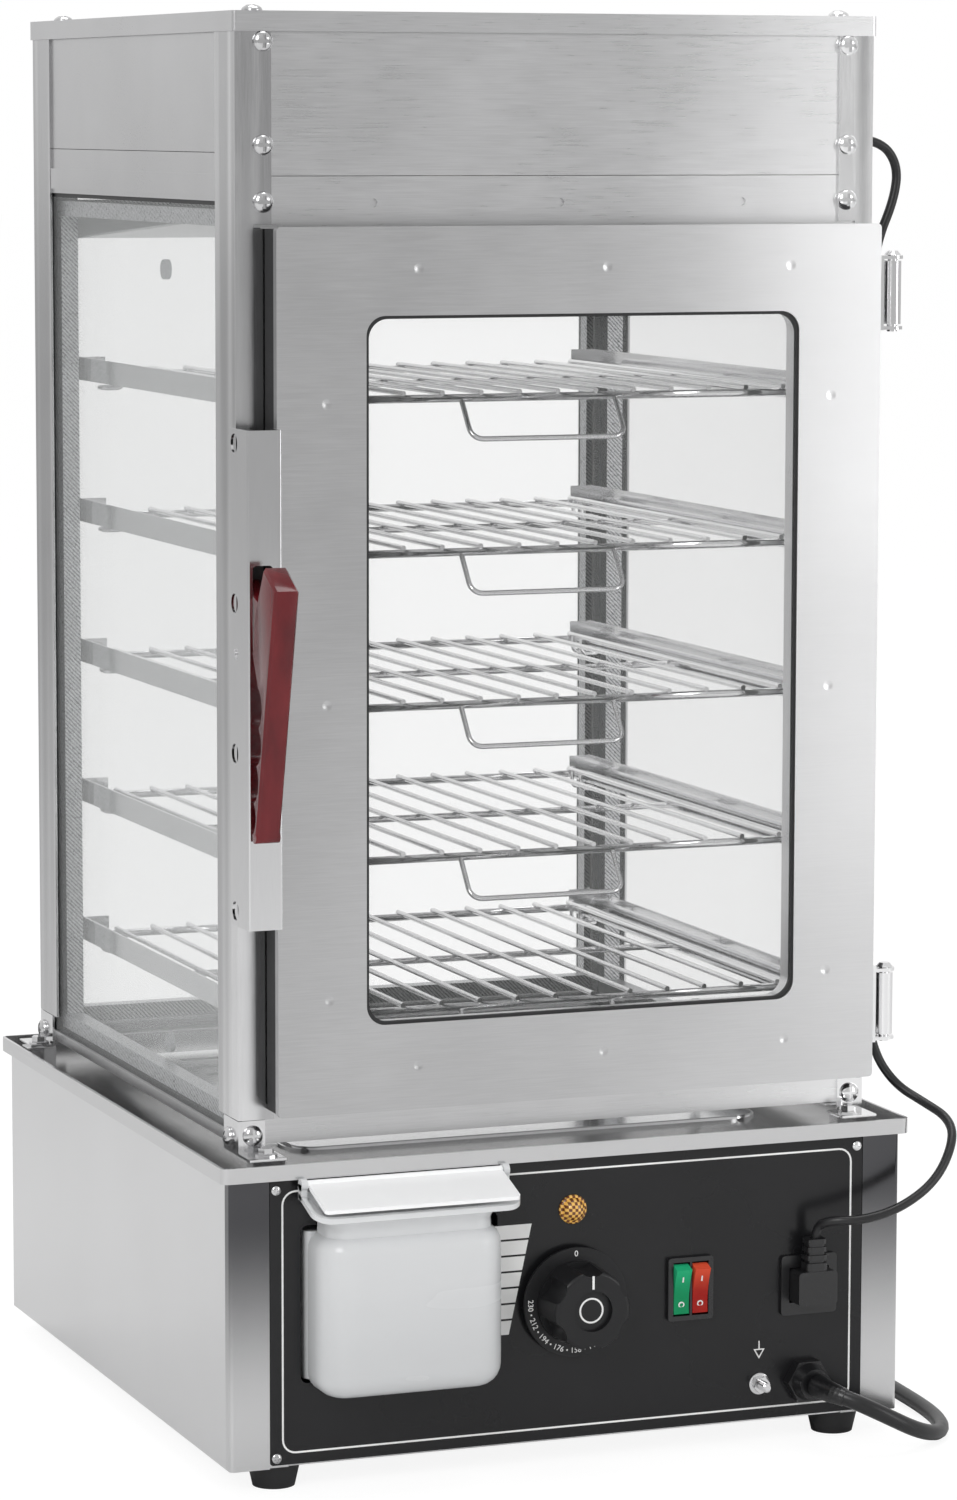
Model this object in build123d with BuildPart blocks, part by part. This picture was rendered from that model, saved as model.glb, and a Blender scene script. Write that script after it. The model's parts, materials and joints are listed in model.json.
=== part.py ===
"""Counter-top bun steamer: a glazed five-tier cabinet with a hinged door on a heated water base.

Millimetres, +Z up, the door faces -Y. The origin is on the floor, under the middle of the whole
appliance without its cords.
"""
import os
from math import atan2, cos, degrees, pi, radians, sin, tan

from build123d import *

os.makedirs("parts", exist_ok=True)

# Driving dimensions of the cabinet
cabinet_width = 328.4
cabinet_depth = 334.0
cabinet_top = 702.7
sheet = 1.0
post_wall = 1.2
post_front_face = 18.0
post_side_face = 30.0
post_notch = 9.0
post_bottom = 178.0
cap_flange = 9.5
cap_gap = 0.3
cap_screw_inset = 13.0
screw_shank = 5.0
screw_head = 10.0
screw_dome = 3.2
top_panel_bottom = 626.2
side_panel_bottom = 637.0
rail_hole = 4.0
rail_hole_pitch = 95.0
fit_gap = 0.3

# Door opening and door
door_left = -150.7
door_right = 160.1
door_bottom = 182.0
door_top = 602.7
door_stand = 20.0
window_left = -106.2
window_right = 116.6
window_bottom = 223.8
window_top = 561.0
window_corner = 9.5
skin_return = 4.5
glass_thick = 3.0
glass_overlap = 12.0
gasket_width = 9.0
gasket_gap = 0.3

# Handle channel and lever on the door's free edge
channel_left = -168.0
channel_stand = 8.0
channel_depth = 26.0
channel_bottom = 274.0
channel_top = 509.0
channel_wall = 1.2
channel_hole = 9.5
channel_holes = (281.0, 356.0, 427.0, 502.0)
lever_left = -166.5
lever_width = 12.0
lever_stand = 35.0
lever_pivot_height = 403.0
pivot_pin = 5.0
running_fit = 0.05

# Hinges on the right of the door
hinge_offset_x = 10.4
hinge_offset_y = 11.0
hinge_heights = (217.0, 569.0)
hinge_ear_span = 36.0
hinge_plate = 1.6
hinge_pin = 5.0
hinge_barrel = 8.4

# Glazing
side_glass_bottom = 170.0
side_glass_top = 612.0
cavity = 9.0
seal_width = 4.0
spacer_width = 8.0

# Racks and their runners
tier_heights = (218.0, 292.5, 367.0, 441.5, 516.0)
runner_height = 12.0
runner_shelf = 13.0
rack_wire = 2.6
rack_rod = 4.0
rack_half_width = 138.5
rack_wires = 14
rack_wire_pitch = 20.0
rack_front = -138.0
rack_rear = 138.0
rack_handle_width = 80.0
rack_handle_drop = 19.0
rack_handle_reach = 15.0

# Base
foot_height = 12.0
foot_top_radius = 13.0
foot_bottom_radius = 10.3
foot_half_x = 148.0
foot_front = -170.0
foot_rear = 140.0
base_width = 351.0
base_depth = 374.0
base_top = 152.5
lip_width = 360.0
lip_depth = 380.0
lip_height = 7.5
panel_thick = 1.5
bracket_face = 13.5
bracket_side = 22.0
bracket_bottom = 161.0
foot_flange = 17.0
foot_bolt_x = 153.0
pan_width = 236.0
pan_depth = 256.0
pan_draught = 6.0
pan_bottom = 66.0
element_tube = 8.0

# Controls, as x and height on the control panel
dial_x = 0.0
dial_z = 82.0
skirt_radius = 27.0
knob_radius = 20.5
knob_length = 22.0
shaft_radius = 3.0
pilot_z = 127.0
pilot_radius = 7.2
switch_x = 62.0
switch_z = 83.0
switch_width = 24.0
switch_height = 31.5
rocker_width = 8.0
rocker_height = 26.0
socket_x = 126.0
socket_z = 80.0
gland_x = 125.0
gland_z = 31.5

# Water box
box_left = -137.0
box_right = -43.0
box_bottom = 48.0
box_shoulder = 126.0
box_front = 27.0
box_behind = 30.0
box_wall = 2.0
funnel_left = -142.0
funnel_right = -36.0
funnel_front_height = 138.0
funnel_rear_height = 147.0

# Cords
power_cord_size = 8.0
light_cord_size = 4.6

# Planes that follow from the sizes above
front_reach = cabinet_depth / 2 + door_stand + channel_stand + lever_stand
rear_reach = lip_depth / 2
mid_y = (front_reach - rear_reach) / 2
cab_front = mid_y - cabinet_depth / 2
cab_rear = mid_y + cabinet_depth / 2
half_width = cabinet_width / 2
door_face = cab_front - door_stand
base_front = mid_y - base_depth / 2
cap_underside = cabinet_top - sheet
layer_front = cab_front + post_wall
front_half = half_width - post_wall - sheet - fit_gap
side_half = cabinet_depth / 2 - post_wall - 0.1


def facing_front(y, x=0.0, z=0.0):
    """A vertical sketch plane at depth y, seen from the front: local x is +X and local y is +Z."""
    return Plane(origin=(x, y, z), x_dir=(1, 0, 0), z_dir=(0, -1, 0))


def facing_right(x, y=0.0, z=0.0):
    """A vertical sketch plane at x, seen from the right: local x is +Y and local y is +Z."""
    return Plane(origin=(x, y, z), x_dir=(0, 1, 0), z_dir=(1, 0, 0))


def level(z, x=0.0, y=0.0):
    """A horizontal sketch plane at height z."""
    return Plane(origin=(x, y, z))


# Top cap
cap_width = cabinet_width + 2 * (cap_gap + sheet)
cap_depth = cabinet_depth + 2 * (cap_gap + sheet)
cap_screw_x = cabinet_width - 2 * cap_screw_inset
cap_screw_y = cabinet_depth - 2 * cap_screw_inset
with BuildPart() as top_cap:
    with BuildSketch(level(cabinet_top - cap_flange, 0, mid_y)):
        RectangleRounded(cap_width, cap_depth, 2 * sheet)
    extrude(amount=cap_flange)
    offset(amount=-sheet, openings=top_cap.faces().sort_by(Axis.Z)[0])
    with Locations((0, mid_y, cabinet_top)):
        with GridLocations(cap_screw_x, cap_screw_y, 2, 2):
            Hole(screw_shank / 2, depth=2 * sheet)
top_cap.part.label = "top_cap"
export_step(top_cap.part, "parts/top_cap.step")

# Corner posts
post_length = cap_underside - post_bottom
strip_screw_x = half_width - 13.8
strip_screw_heights = (614.0, 640.5, 688.5)
notch_bottom = door_bottom + 8.0
notch_top = door_top + 1.0
light_cord_y = cab_front + 17.0
light_cord_z = 643.5
grommet_radius = 5.5


def corner_post(with_notch):
    """A folded angle at the front left corner, with a tab on top for the cap's screw."""
    with BuildPart() as post:
        with BuildSketch(level(post_bottom, -half_width, cab_front)):
            Rectangle(post_front_face, post_wall, align=(Align.MIN, Align.MIN))
            Rectangle(post_wall, post_side_face, align=(Align.MIN, Align.MIN))
        extrude(amount=post_length)
        with BuildSketch(level(cap_underside - post_wall, -half_width, cab_front)):
            Rectangle(2 * cap_screw_inset, 2 * cap_screw_inset, align=(Align.MIN, Align.MIN))
        extrude(amount=post_wall)
        if with_notch:
            with BuildSketch(facing_front(cab_front, -half_width)):
                with BuildLine():
                    Polyline(
                        (post_notch, notch_bottom),
                        (post_notch, notch_top),
                        (post_front_face + 1, notch_top),
                        (post_front_face + 1, notch_bottom - 6),
                        (post_front_face - 2, notch_bottom - 6),
                        close=True,
                    )
                make_face()
            extrude(amount=-post_wall, mode=Mode.SUBTRACT)
            with Locations(facing_front(cab_front)):
                with Locations(*[(-strip_screw_x, z) for z in strip_screw_heights]):
                    Hole(screw_shank / 2, depth=2 * post_wall)
        with Locations((-half_width + cap_screw_inset, cab_front + cap_screw_inset, cap_underside)):
            Hole(screw_shank / 2, depth=2 * post_wall)
    return post.part


with BuildPart() as front_posts:
    add(corner_post(True))
    mirror(about=Plane.YZ)
    with Locations(facing_right(half_width)):
        with Locations((light_cord_y, light_cord_z)):
            Hole(grommet_radius, depth=2 * post_wall)
front_posts.part.label = "front_posts"
export_step(front_posts.part, "parts/front_posts.step")

with BuildPart() as rear_posts:
    add(mirror(corner_post(False), about=Plane.XZ.offset(-mid_y), mode=Mode.PRIVATE))
    mirror(about=Plane.YZ)
rear_posts.part.label = "rear_posts"
export_step(rear_posts.part, "parts/rear_posts.step")

# Front panel and rail above the door
fold = 10.0
panel_head = cap_underside - post_wall - fit_gap
with BuildPart() as front_top_panel:
    with BuildSketch(facing_right(-front_half)):
        with BuildLine():
            Polyline(
                (layer_front, top_panel_bottom),
                (layer_front, panel_head),
                (layer_front + sheet, panel_head),
                (layer_front + sheet, top_panel_bottom + sheet),
                (layer_front + fold, top_panel_bottom + sheet),
                (layer_front + fold, top_panel_bottom),
                close=True,
            )
        make_face()
    extrude(amount=2 * front_half)
    with Locations(facing_front(layer_front)):
        with Locations(*[(s * strip_screw_x, z) for s in (-1, 1) for z in strip_screw_heights[1:]]):
            Hole(screw_shank / 2, depth=2 * sheet)
front_top_panel.part.label = "front_top_panel"
export_step(front_top_panel.part, "parts/front_top_panel.step")

rail_bottom = door_top - 0.7
rail_head = top_panel_bottom - fit_gap
with BuildPart() as front_top_rail:
    with BuildSketch(facing_right(-front_half)):
        with BuildLine():
            Polyline(
                (layer_front, rail_bottom),
                (layer_front, rail_head),
                (layer_front + fold, rail_head),
                (layer_front + fold, rail_head - sheet),
                (layer_front + sheet, rail_head - sheet),
                (layer_front + sheet, rail_bottom + sheet),
                (layer_front + fold, rail_bottom + sheet),
                (layer_front + fold, rail_bottom),
                close=True,
            )
        make_face()
    extrude(amount=2 * front_half)
    with Locations(facing_front(layer_front)):
        with Locations(*[(s * rail_hole_pitch, 613.3) for s in (-1, 0, 1)]):
            Hole(rail_hole / 2, depth=2 * sheet)
        with Locations(*[(s * strip_screw_x, strip_screw_heights[0]) for s in (-1, 1)]):
            Hole(screw_shank / 2, depth=2 * sheet)
front_top_rail.part.label = "front_top_rail"
export_step(front_top_rail.part, "parts/front_top_rail.step")

# Side and rear panels of the lamp compartment
with BuildPart() as top_box_panels:
    with Locations((0, mid_y, side_panel_bottom)):
        for side in (-1, 1):
            with Locations((side * (half_width - post_wall - sheet / 2), 0, 0)):
                Box(sheet, 2 * side_half, panel_head - side_panel_bottom,
                    align=(Align.CENTER, Align.CENTER, Align.MIN))
        with Locations((0, cabinet_depth / 2 - post_wall - sheet / 2, 0)):
            Box(2 * front_half, sheet, panel_head - side_panel_bottom,
                align=(Align.CENTER, Align.CENTER, Align.MIN))
    with Locations(facing_right(half_width)):
        with Locations((light_cord_y, light_cord_z)):
            Hole(grommet_radius, depth=5 * sheet)
top_box_panels.part.label = "top_box_panels"
export_step(top_box_panels.part, "parts/top_box_panels.step")

# Rails between the lamp compartment and the glass
band_bottom = side_glass_top + seal_width + 0.3
band_top = top_panel_bottom + 0.5
with BuildPart() as upper_rails:
    with Locations((0, mid_y, 0)):
        for side in (-1, 1):
            with Locations((side * (half_width - post_wall - sheet / 2), 0, band_bottom - 2.3)):
                Box(sheet, 2 * side_half, side_panel_bottom - fit_gap - band_bottom + 2.3,
                    align=(Align.CENTER, Align.CENTER, Align.MIN))
            with Locations((side * (half_width - post_wall / 2 - 0.1), 0, band_bottom)):
                Box(post_wall - 0.2, cabinet_depth - 2 * post_side_face - 2 * fit_gap, band_top - band_bottom,
                    align=(Align.CENTER, Align.CENTER, Align.MIN))
        with Locations((0, cabinet_depth / 2 - post_wall - sheet / 2, band_bottom - 2.3)):
            Box(2 * front_half, sheet, side_panel_bottom - fit_gap - band_bottom + 2.3,
                align=(Align.CENTER, Align.CENTER, Align.MIN))
        with Locations((0, cabinet_depth / 2 - post_wall / 2 - 0.1, band_bottom)):
            Box(cabinet_width - 2 * post_front_face - 2 * fit_gap, post_wall - 0.2, band_top - band_bottom,
                align=(Align.CENTER, Align.CENTER, Align.MIN))
upper_rails.part.label = "upper_rails"
export_step(upper_rails.part, "parts/upper_rails.step")

# Rails under the glass and under the door
rail_foot = side_glass_bottom - seal_width - sheet - 0.5
glass_inset = post_wall + sheet
unit_depth = 2 * glass_thick + cavity
rail_shelf = glass_inset + unit_depth + 3.0
side_rail_length = 2 * side_half - sheet - fit_gap
rear_shelf_half = half_width - rail_shelf - fit_gap
front_rail_bottom = 166.0
front_rail_top = door_bottom - 1.0
bracket_screw_z = 170.5
bracket_screw_x = half_width - 7.2
side_screw_z = 168.0
bracket_screw_side = 13.6
rear_screw_side = 5.7
with BuildPart() as lower_rails:
    with BuildSketch(facing_front(mid_y - side_half)):
        with BuildLine():
            Polyline(
                (-half_width + post_wall, rail_foot),
                (-half_width + post_wall, side_glass_bottom),
                (-half_width + glass_inset, side_glass_bottom),
                (-half_width + glass_inset, rail_foot + sheet),
                (-half_width + rail_shelf, rail_foot + sheet),
                (-half_width + rail_shelf, rail_foot),
                close=True,
            )
        make_face()
    extrude(amount=-side_rail_length)
    mirror(about=Plane.YZ)
    with Locations((0, cab_rear - post_wall - sheet / 2, rail_foot)):
        Box(2 * front_half, sheet, side_glass_bottom - rail_foot,
            align=(Align.CENTER, Align.CENTER, Align.MIN))
    with Locations((0, cab_rear - post_wall, rail_foot)):
        Box(2 * rear_shelf_half, rail_shelf - post_wall, sheet,
            align=(Align.CENTER, Align.MAX, Align.MIN))
    with BuildSketch(facing_right(-front_half)):
        with BuildLine():
            Polyline(
                (layer_front, front_rail_bottom),
                (layer_front, front_rail_top),
                (layer_front + fold, front_rail_top),
                (layer_front + fold, front_rail_top - sheet),
                (layer_front + sheet, front_rail_top - sheet),
                (layer_front + sheet, front_rail_bottom),
                close=True,
            )
        make_face()
    extrude(amount=2 * front_half)
    with Locations(facing_front(layer_front)):
        with Locations(*[(side * bracket_screw_x, bracket_screw_z) for side in (-1, 1)]):
            Hole(screw_shank / 2, depth=2 * sheet)
    with BuildSketch(facing_right(-half_width + post_wall)):
        with Locations((cab_front + bracket_screw_side, side_screw_z), (cab_rear - rear_screw_side, side_screw_z)):
            Circle(screw_shank / 2)
    extrude(amount=2 * (half_width - post_wall), mode=Mode.SUBTRACT)
lower_rails.part.label = "lower_rails"
export_step(lower_rails.part, "parts/lower_rails.step")

# Frame of the door opening, behind the posts' notches
frame_side = 15.5
frame_head = 6.0
frame_lip = 8.0
opening_width = 2 * (front_half - frame_side)
opening_bottom = front_rail_top + fit_gap + frame_head
opening_top = rail_bottom - fit_gap - frame_head
frame_middle = (front_rail_top + rail_bottom) / 2
with BuildPart() as door_frame:
    with BuildSketch(facing_front(layer_front, 0, frame_middle)):
        Rectangle(2 * front_half, rail_bottom - front_rail_top - 2 * fit_gap)
        Rectangle(opening_width, opening_top - opening_bottom, mode=Mode.SUBTRACT)
    extrude(amount=-sheet)
    with BuildSketch(facing_front(layer_front, 0, frame_middle)):
        Rectangle(opening_width + 2 * sheet, opening_top - opening_bottom + 2 * sheet)
        Rectangle(opening_width, opening_top - opening_bottom, mode=Mode.SUBTRACT)
    extrude(amount=-frame_lip)
door_frame.part.label = "door_frame"
export_step(door_frame.part, "parts/door_frame.step")

# Double glazing of the sides and the back
side_unit_front = cab_front + 14.0
side_unit_rear = cab_rear - glass_inset - unit_depth - 1.2
side_unit_middle = (side_unit_front + side_unit_rear) / 2
side_unit_length = side_unit_rear - side_unit_front
rear_unit_width = 2 * (half_width - 5.0)
glass_middle = (side_glass_bottom + side_glass_top) / 2
glass_height = side_glass_top - side_glass_bottom
outer_face = half_width - glass_inset
side_glass_inner = outer_face - unit_depth


def glazing_planes(face):
    """Sketch planes of one unit's outer face, with the unit's width, for the left, right and back."""
    if face == "left":
        return facing_right(-outer_face, side_unit_middle, glass_middle), side_unit_length
    if face == "right":
        return facing_right(outer_face, side_unit_middle, glass_middle), side_unit_length
    return facing_front(cab_rear - glass_inset, 0, glass_middle), rear_unit_width


def into_unit(face):
    """The sign of an extrusion that runs from a unit's outer face into the cabinet."""
    return -1 if face == "right" else 1


def panes(face):
    """The two glass panes of a unit."""
    plane, width = glazing_planes(face)
    way = into_unit(face)
    with BuildPart() as pair:
        for depth in (0.0, glass_thick + cavity):
            with BuildSketch(plane.offset(way * depth)):
                Rectangle(width - 2 * seal_width, glass_height)
            extrude(amount=way * glass_thick)
    return pair


def ring_in_unit(face, outer_inset, ring_width, start, depth):
    """A rectangular ring inside a unit, such as its edge seal or its spacer."""
    plane, width = glazing_planes(face)
    way = into_unit(face)
    ring_outer = width - 2 * outer_inset
    ring_tall = glass_height + 2 * seal_width - 2 * outer_inset
    with BuildPart() as ring:
        with BuildSketch(plane.offset(way * start)):
            Rectangle(ring_outer, ring_tall)
            Rectangle(ring_outer - 2 * ring_width, ring_tall - 2 * ring_width, mode=Mode.SUBTRACT)
        extrude(amount=way * depth)
    return ring.part


left_glass = panes("left")
left_glass.part.label = "left_glass"
export_step(left_glass.part, "parts/left_glass.step")

right_glass = panes("right")
right_glass.part.label = "right_glass"
export_step(right_glass.part, "parts/right_glass.step")

rear_glass = panes("back")
rear_glass.part.label = "rear_glass"
export_step(rear_glass.part, "parts/rear_glass.step")

with BuildPart() as glass_spacers:
    for unit_face in ("left", "right", "back"):
        add(ring_in_unit(unit_face, seal_width + 2.0, spacer_width, glass_thick, cavity))
glass_spacers.part.label = "glass_spacers"
export_step(glass_spacers.part, "parts/glass_spacers.step")

with BuildPart() as glass_seals:
    for unit_face in ("left", "right", "back"):
        add(ring_in_unit(unit_face, 0.0, seal_width, 0.0, unit_depth))
glass_seals.part.label = "glass_seals"
export_step(glass_seals.part, "parts/glass_seals.step")

# Round stand-off buttons that hold the panes at mid length, top and bottom
button_radius = 5.0
button_rise = 3.0
button_heights = (side_glass_bottom + 17.0, side_glass_top - 34.0)
with BuildPart() as glass_buttons:
    for height in button_heights:
        for side in (-1, 1):
            with BuildSketch(facing_right(side * side_glass_inner, side_unit_middle, height)):
                Circle(button_radius)
            extrude(amount=-side * button_rise)
        with BuildSketch(facing_front(cab_rear - glass_inset - unit_depth, 0, height)):
            Circle(button_radius)
        extrude(amount=button_rise)
glass_buttons.part.label = "glass_buttons"
export_step(glass_buttons.part, "parts/glass_buttons.step")

# Sloped ceiling, which lets drops run to the back, and the lamp above it
ceiling_front_z = 609.0
ceiling_drop = 19.0
ceiling_front_y = layer_front + sheet
ceiling_rear_y = cab_rear - glass_inset - unit_depth - 0.5
ceiling_half = side_glass_inner - 0.5
ceiling_flange = 11.0
ceiling_run = ceiling_rear_y - ceiling_front_y
ceiling_slope = atan2(ceiling_drop, ceiling_run - 2 * sheet)
lamp_window_size = 76.0
lamp_hole = 60.0
lamp_glass = 4.0
with BuildPart() as ceiling_plate:
    with BuildSketch(facing_right(-ceiling_half)):
        with BuildLine():
            Polyline(
                (ceiling_front_y, ceiling_front_z),
                (ceiling_front_y, ceiling_front_z + ceiling_flange),
                (ceiling_front_y + sheet, ceiling_front_z + ceiling_flange),
                (ceiling_front_y + sheet, ceiling_front_z + sheet),
                (ceiling_rear_y - sheet, ceiling_front_z - ceiling_drop + sheet),
                (ceiling_rear_y - sheet, ceiling_front_z - ceiling_drop + ceiling_flange),
                (ceiling_rear_y, ceiling_front_z - ceiling_drop + ceiling_flange),
                (ceiling_rear_y, ceiling_front_z - ceiling_drop),
                close=True,
            )
        make_face()
    extrude(amount=2 * ceiling_half)
    with BuildSketch(level(ceiling_front_z - ceiling_drop, 0, mid_y)):
        Rectangle(lamp_hole, lamp_hole)
    extrude(amount=2 * ceiling_drop, mode=Mode.SUBTRACT)
ceiling_plate.part.label = "ceiling_plate"
export_step(ceiling_plate.part, "parts/ceiling_plate.step")

ceiling_share = (mid_y - ceiling_front_y - sheet) / (ceiling_run - 2 * sheet)
ceiling_mid_z = ceiling_front_z + sheet - ceiling_drop * ceiling_share
ceiling_plane = Plane(
    origin=(0, mid_y, ceiling_mid_z),
    x_dir=(1, 0, 0),
    z_dir=(0, sin(ceiling_slope), cos(ceiling_slope)),
)
with BuildPart() as lamp_window:
    with BuildSketch(ceiling_plane):
        RectangleRounded(lamp_window_size, lamp_window_size, 4.0)
    extrude(amount=lamp_glass)
lamp_window.part.label = "lamp_window"
export_step(lamp_window.part, "parts/lamp_window.step")

holder_radius = 14.0
holder_length = 26.0
bulb_radius = 12.5
bulb_height = 30.0
holder_x = 56.0
with BuildPart() as lamp_holder:
    with BuildSketch(ceiling_plane):
        with Locations((holder_x, 0)):
            Rectangle(26.0, 34.0)
    extrude(amount=1.5)
    with BuildSketch(ceiling_plane):
        with Locations((holder_x, 0)):
            Rectangle(1.5, 34.0)
    extrude(amount=bulb_height + holder_radius + 2)
    with BuildSketch(Plane(origin=ceiling_plane.from_local_coords((holder_x, 0, bulb_height)),
                           x_dir=(0, 1, 0), z_dir=(-1, 0, 0))):
        Circle(holder_radius)
    extrude(amount=holder_length)
lamp_holder.part.label = "lamp_holder"
export_step(lamp_holder.part, "parts/lamp_holder.step")

with BuildPart() as lamp_bulb:
    with BuildSketch(Plane(origin=ceiling_plane.from_local_coords((holder_x - holder_length, 0, bulb_height)),
                           x_dir=(-1, 0, 0), z_dir=(0, 1, 0))):
        with BuildLine():
            Polyline((0, 0), (0, 6.5), (8, 6.5))
            Spline((8, 6.5), (22, bulb_radius), (34, 9.0), (40, 0), tangents=((1, 0.6), (0, -1)))
            Line((40, 0), (0, 0))
        make_face()
    revolve(axis=Axis(ceiling_plane.from_local_coords((0, 0, bulb_height)), (1, 0, 0)))
lamp_bulb.part.label = "lamp_bulb"
export_step(lamp_bulb.part, "parts/lamp_bulb.step")

# Rack runners: an angle with end tabs behind the posts and a stop at the back
runner_outer = side_glass_inner - fit_gap
runner_rear = cab_rear - glass_inset - unit_depth - fit_gap
frame_back = layer_front + frame_lip + fit_gap
stop_length = 14.0
stop_y = mid_y + rack_rear + rack_rod / 2 + 4.0


def runner(height):
    """The left runner of one tier."""
    with BuildPart() as angle:
        with Locations((-runner_outer, frame_back, height)):
            Box(sheet, runner_rear - frame_back, runner_height, align=(Align.MIN, Align.MIN, Align.MIN))
            Box(runner_shelf, runner_rear - frame_back, sheet, align=(Align.MIN, Align.MIN, Align.MIN))
        with Locations((-runner_outer, stop_y, height)):
            Box(stop_length, sheet, runner_height, align=(Align.MIN, Align.MIN, Align.MIN))
    return angle.part


with BuildPart() as rack_runners:
    for tier in tier_heights:
        add(runner(tier))
    mirror(about=Plane.YZ)
rack_runners.part.label = "rack_runners"
export_step(rack_runners.part, "parts/rack_runners.step")


wire_sides = 4
bar_sides = 6


def rod(points, radius, bend, sides):
    """A bar of many sides along a polyline whose corners are bent to one radius."""
    with BuildPart() as bar:
        with BuildLine() as route:
            FilletPolyline(*points, radius=bend)
        with BuildSketch(Plane(origin=route.line @ 0, z_dir=route.line % 0)):
            RegularPolygon(radius, sides, rotation=180 / sides)
        sweep(path=route.line)
    return bar.part


def straight_bar(start, end, radius, sides):
    """A bar of many sides between two points."""
    axis = Vector(*end) - Vector(*start)
    with BuildPart() as bar:
        with BuildSketch(Plane(origin=start, z_dir=axis.normalized())):
            RegularPolygon(radius, sides, rotation=180 / sides)
        extrude(amount=axis.length)
    return bar.part


# Wire racks: a rod frame, wires welded across it, a drop handle and two hooks at the back
weld = 0.6
middle_rod = 3.4
hook_wire = 2.3
frame_lift = sheet + rack_rod / 2 + running_fit
wire_lift = frame_lift + rack_rod / 2 + rack_wire / 2 - weld
first_wire = rack_wire_pitch * (rack_wires - 1) / 2
wire_end = 1.2
rack_corner = 6.0
hook_drop = 3.5
hook_reach = 10.0
hook_length = 12.0
hook_y = mid_y + rack_rear - 16.0


def rack(tier):
    """The rack that rests on the runners of one tier."""
    middle = tier + frame_lift
    front = mid_y + rack_front
    rear = mid_y + rack_rear
    with BuildPart() as grid:
        for side in (-1, 1):
            add(rod([(0, front, middle),
                     (side * rack_half_width, front, middle),
                     (side * rack_half_width, rear, middle),
                     (0, rear, middle)], rack_rod / 2, rack_corner, bar_sides))
        add(straight_bar((-rack_half_width, mid_y, middle), (rack_half_width, mid_y, middle),
                         middle_rod / 2, bar_sides))
        with BuildSketch(facing_front(front - wire_end, 0, tier + wire_lift)):
            with GridLocations(rack_wire_pitch, 0, rack_wires, 1):
                RegularPolygon(rack_wire / 2, wire_sides)
        extrude(amount=-(rear - front + 2 * wire_end))
        add(rod([(-rack_handle_width / 2, front, middle),
                 (-rack_handle_width / 2, front - rack_handle_reach, middle - rack_handle_drop),
                 (rack_handle_width / 2, front - rack_handle_reach, middle - rack_handle_drop),
                 (rack_handle_width / 2, front, middle)], rack_wire / 2, 6.0, wire_sides))
        for side in (-1, 1):
            leg = side * first_wire
            add(rod([(leg, hook_y, tier + wire_lift),
                     (leg, hook_y, tier - hook_drop),
                     (leg + side * hook_reach, hook_y, tier - hook_drop),
                     (leg + side * hook_reach, hook_y + hook_length, tier - hook_drop),
                     (leg, hook_y + hook_length, tier - hook_drop),
                     (leg, hook_y + hook_length, tier + wire_lift)], hook_wire / 2, 3.0, wire_sides))
    return grid


rack_1 = rack(tier_heights[0])
rack_1.part.label = "rack_1"
export_step(rack_1.part, "parts/rack_1.step")

rack_2 = rack(tier_heights[1])
rack_2.part.label = "rack_2"
export_step(rack_2.part, "parts/rack_2.step")

rack_3 = rack(tier_heights[2])
rack_3.part.label = "rack_3"
export_step(rack_3.part, "parts/rack_3.step")

rack_4 = rack(tier_heights[3])
rack_4.part.label = "rack_4"
export_step(rack_4.part, "parts/rack_4.step")

rack_5 = rack(tier_heights[4])
rack_5.part.label = "rack_5"
export_step(rack_5.part, "parts/rack_5.step")

# Corner brackets that carry the cabinet on the base tray
bracket_top = post_bottom - fit_gap
bracket_height = bracket_top - bracket_bottom
bolt_radius = 4.0
front_bolt_y = cab_front - 8.0
rear_bolt_x = half_width + 5.8
rear_bolt_y = cab_rear - 16.0
flange_width = 18.5


def bracket(at_front):
    """The left bracket at the front or at the back, with its foot over the bolt."""
    y_corner = cab_front if at_front else cab_rear
    inward = Align.MIN if at_front else Align.MAX
    outward = Align.MAX if at_front else Align.MIN
    with BuildPart() as piece:
        with Locations((-half_width, y_corner, bracket_bottom)):
            Box(bracket_face, post_wall, bracket_height, align=(Align.MIN, inward, Align.MIN))
            Box(post_wall, bracket_side, bracket_height, align=(Align.MIN, inward, Align.MIN))
            if at_front:
                Box(flange_width, foot_flange, post_wall, align=(Align.MIN, outward, Align.MIN))
                Box(flange_width, post_wall, post_wall, align=(Align.MIN, inward, Align.MIN))
            else:
                Box(foot_flange - 5, bracket_side, post_wall, align=(Align.MAX, inward, Align.MIN))
                Box(post_wall, bracket_side, post_wall, align=(Align.MIN, inward, Align.MIN))
        bolt = (-foot_bolt_x, front_bolt_y) if at_front else (-rear_bolt_x, rear_bolt_y)
        with Locations((*bolt, bracket_bottom + post_wall)):
            Hole(bolt_radius, depth=2 * post_wall)
        screw_y = cab_front + bracket_screw_side if at_front else cab_rear - rear_screw_side
        with Locations(facing_right(-half_width + post_wall)):
            with Locations((screw_y, side_screw_z)):
                Hole(screw_shank / 2, depth=2 * post_wall)
        if at_front:
            with Locations(facing_front(cab_front)):
                with Locations((-bracket_screw_x, bracket_screw_z)):
                    Hole(screw_shank / 2, depth=2 * post_wall)
    return piece.part


with BuildPart() as corner_brackets:
    add(bracket(True))
    add(bracket(False))
    mirror(about=Plane.YZ)
corner_brackets.part.label = "corner_brackets"
export_step(corner_brackets.part, "parts/corner_brackets.step")

# Dome-headed screws of the cap, the head strip and the brackets
screw_length = 2.1


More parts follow.
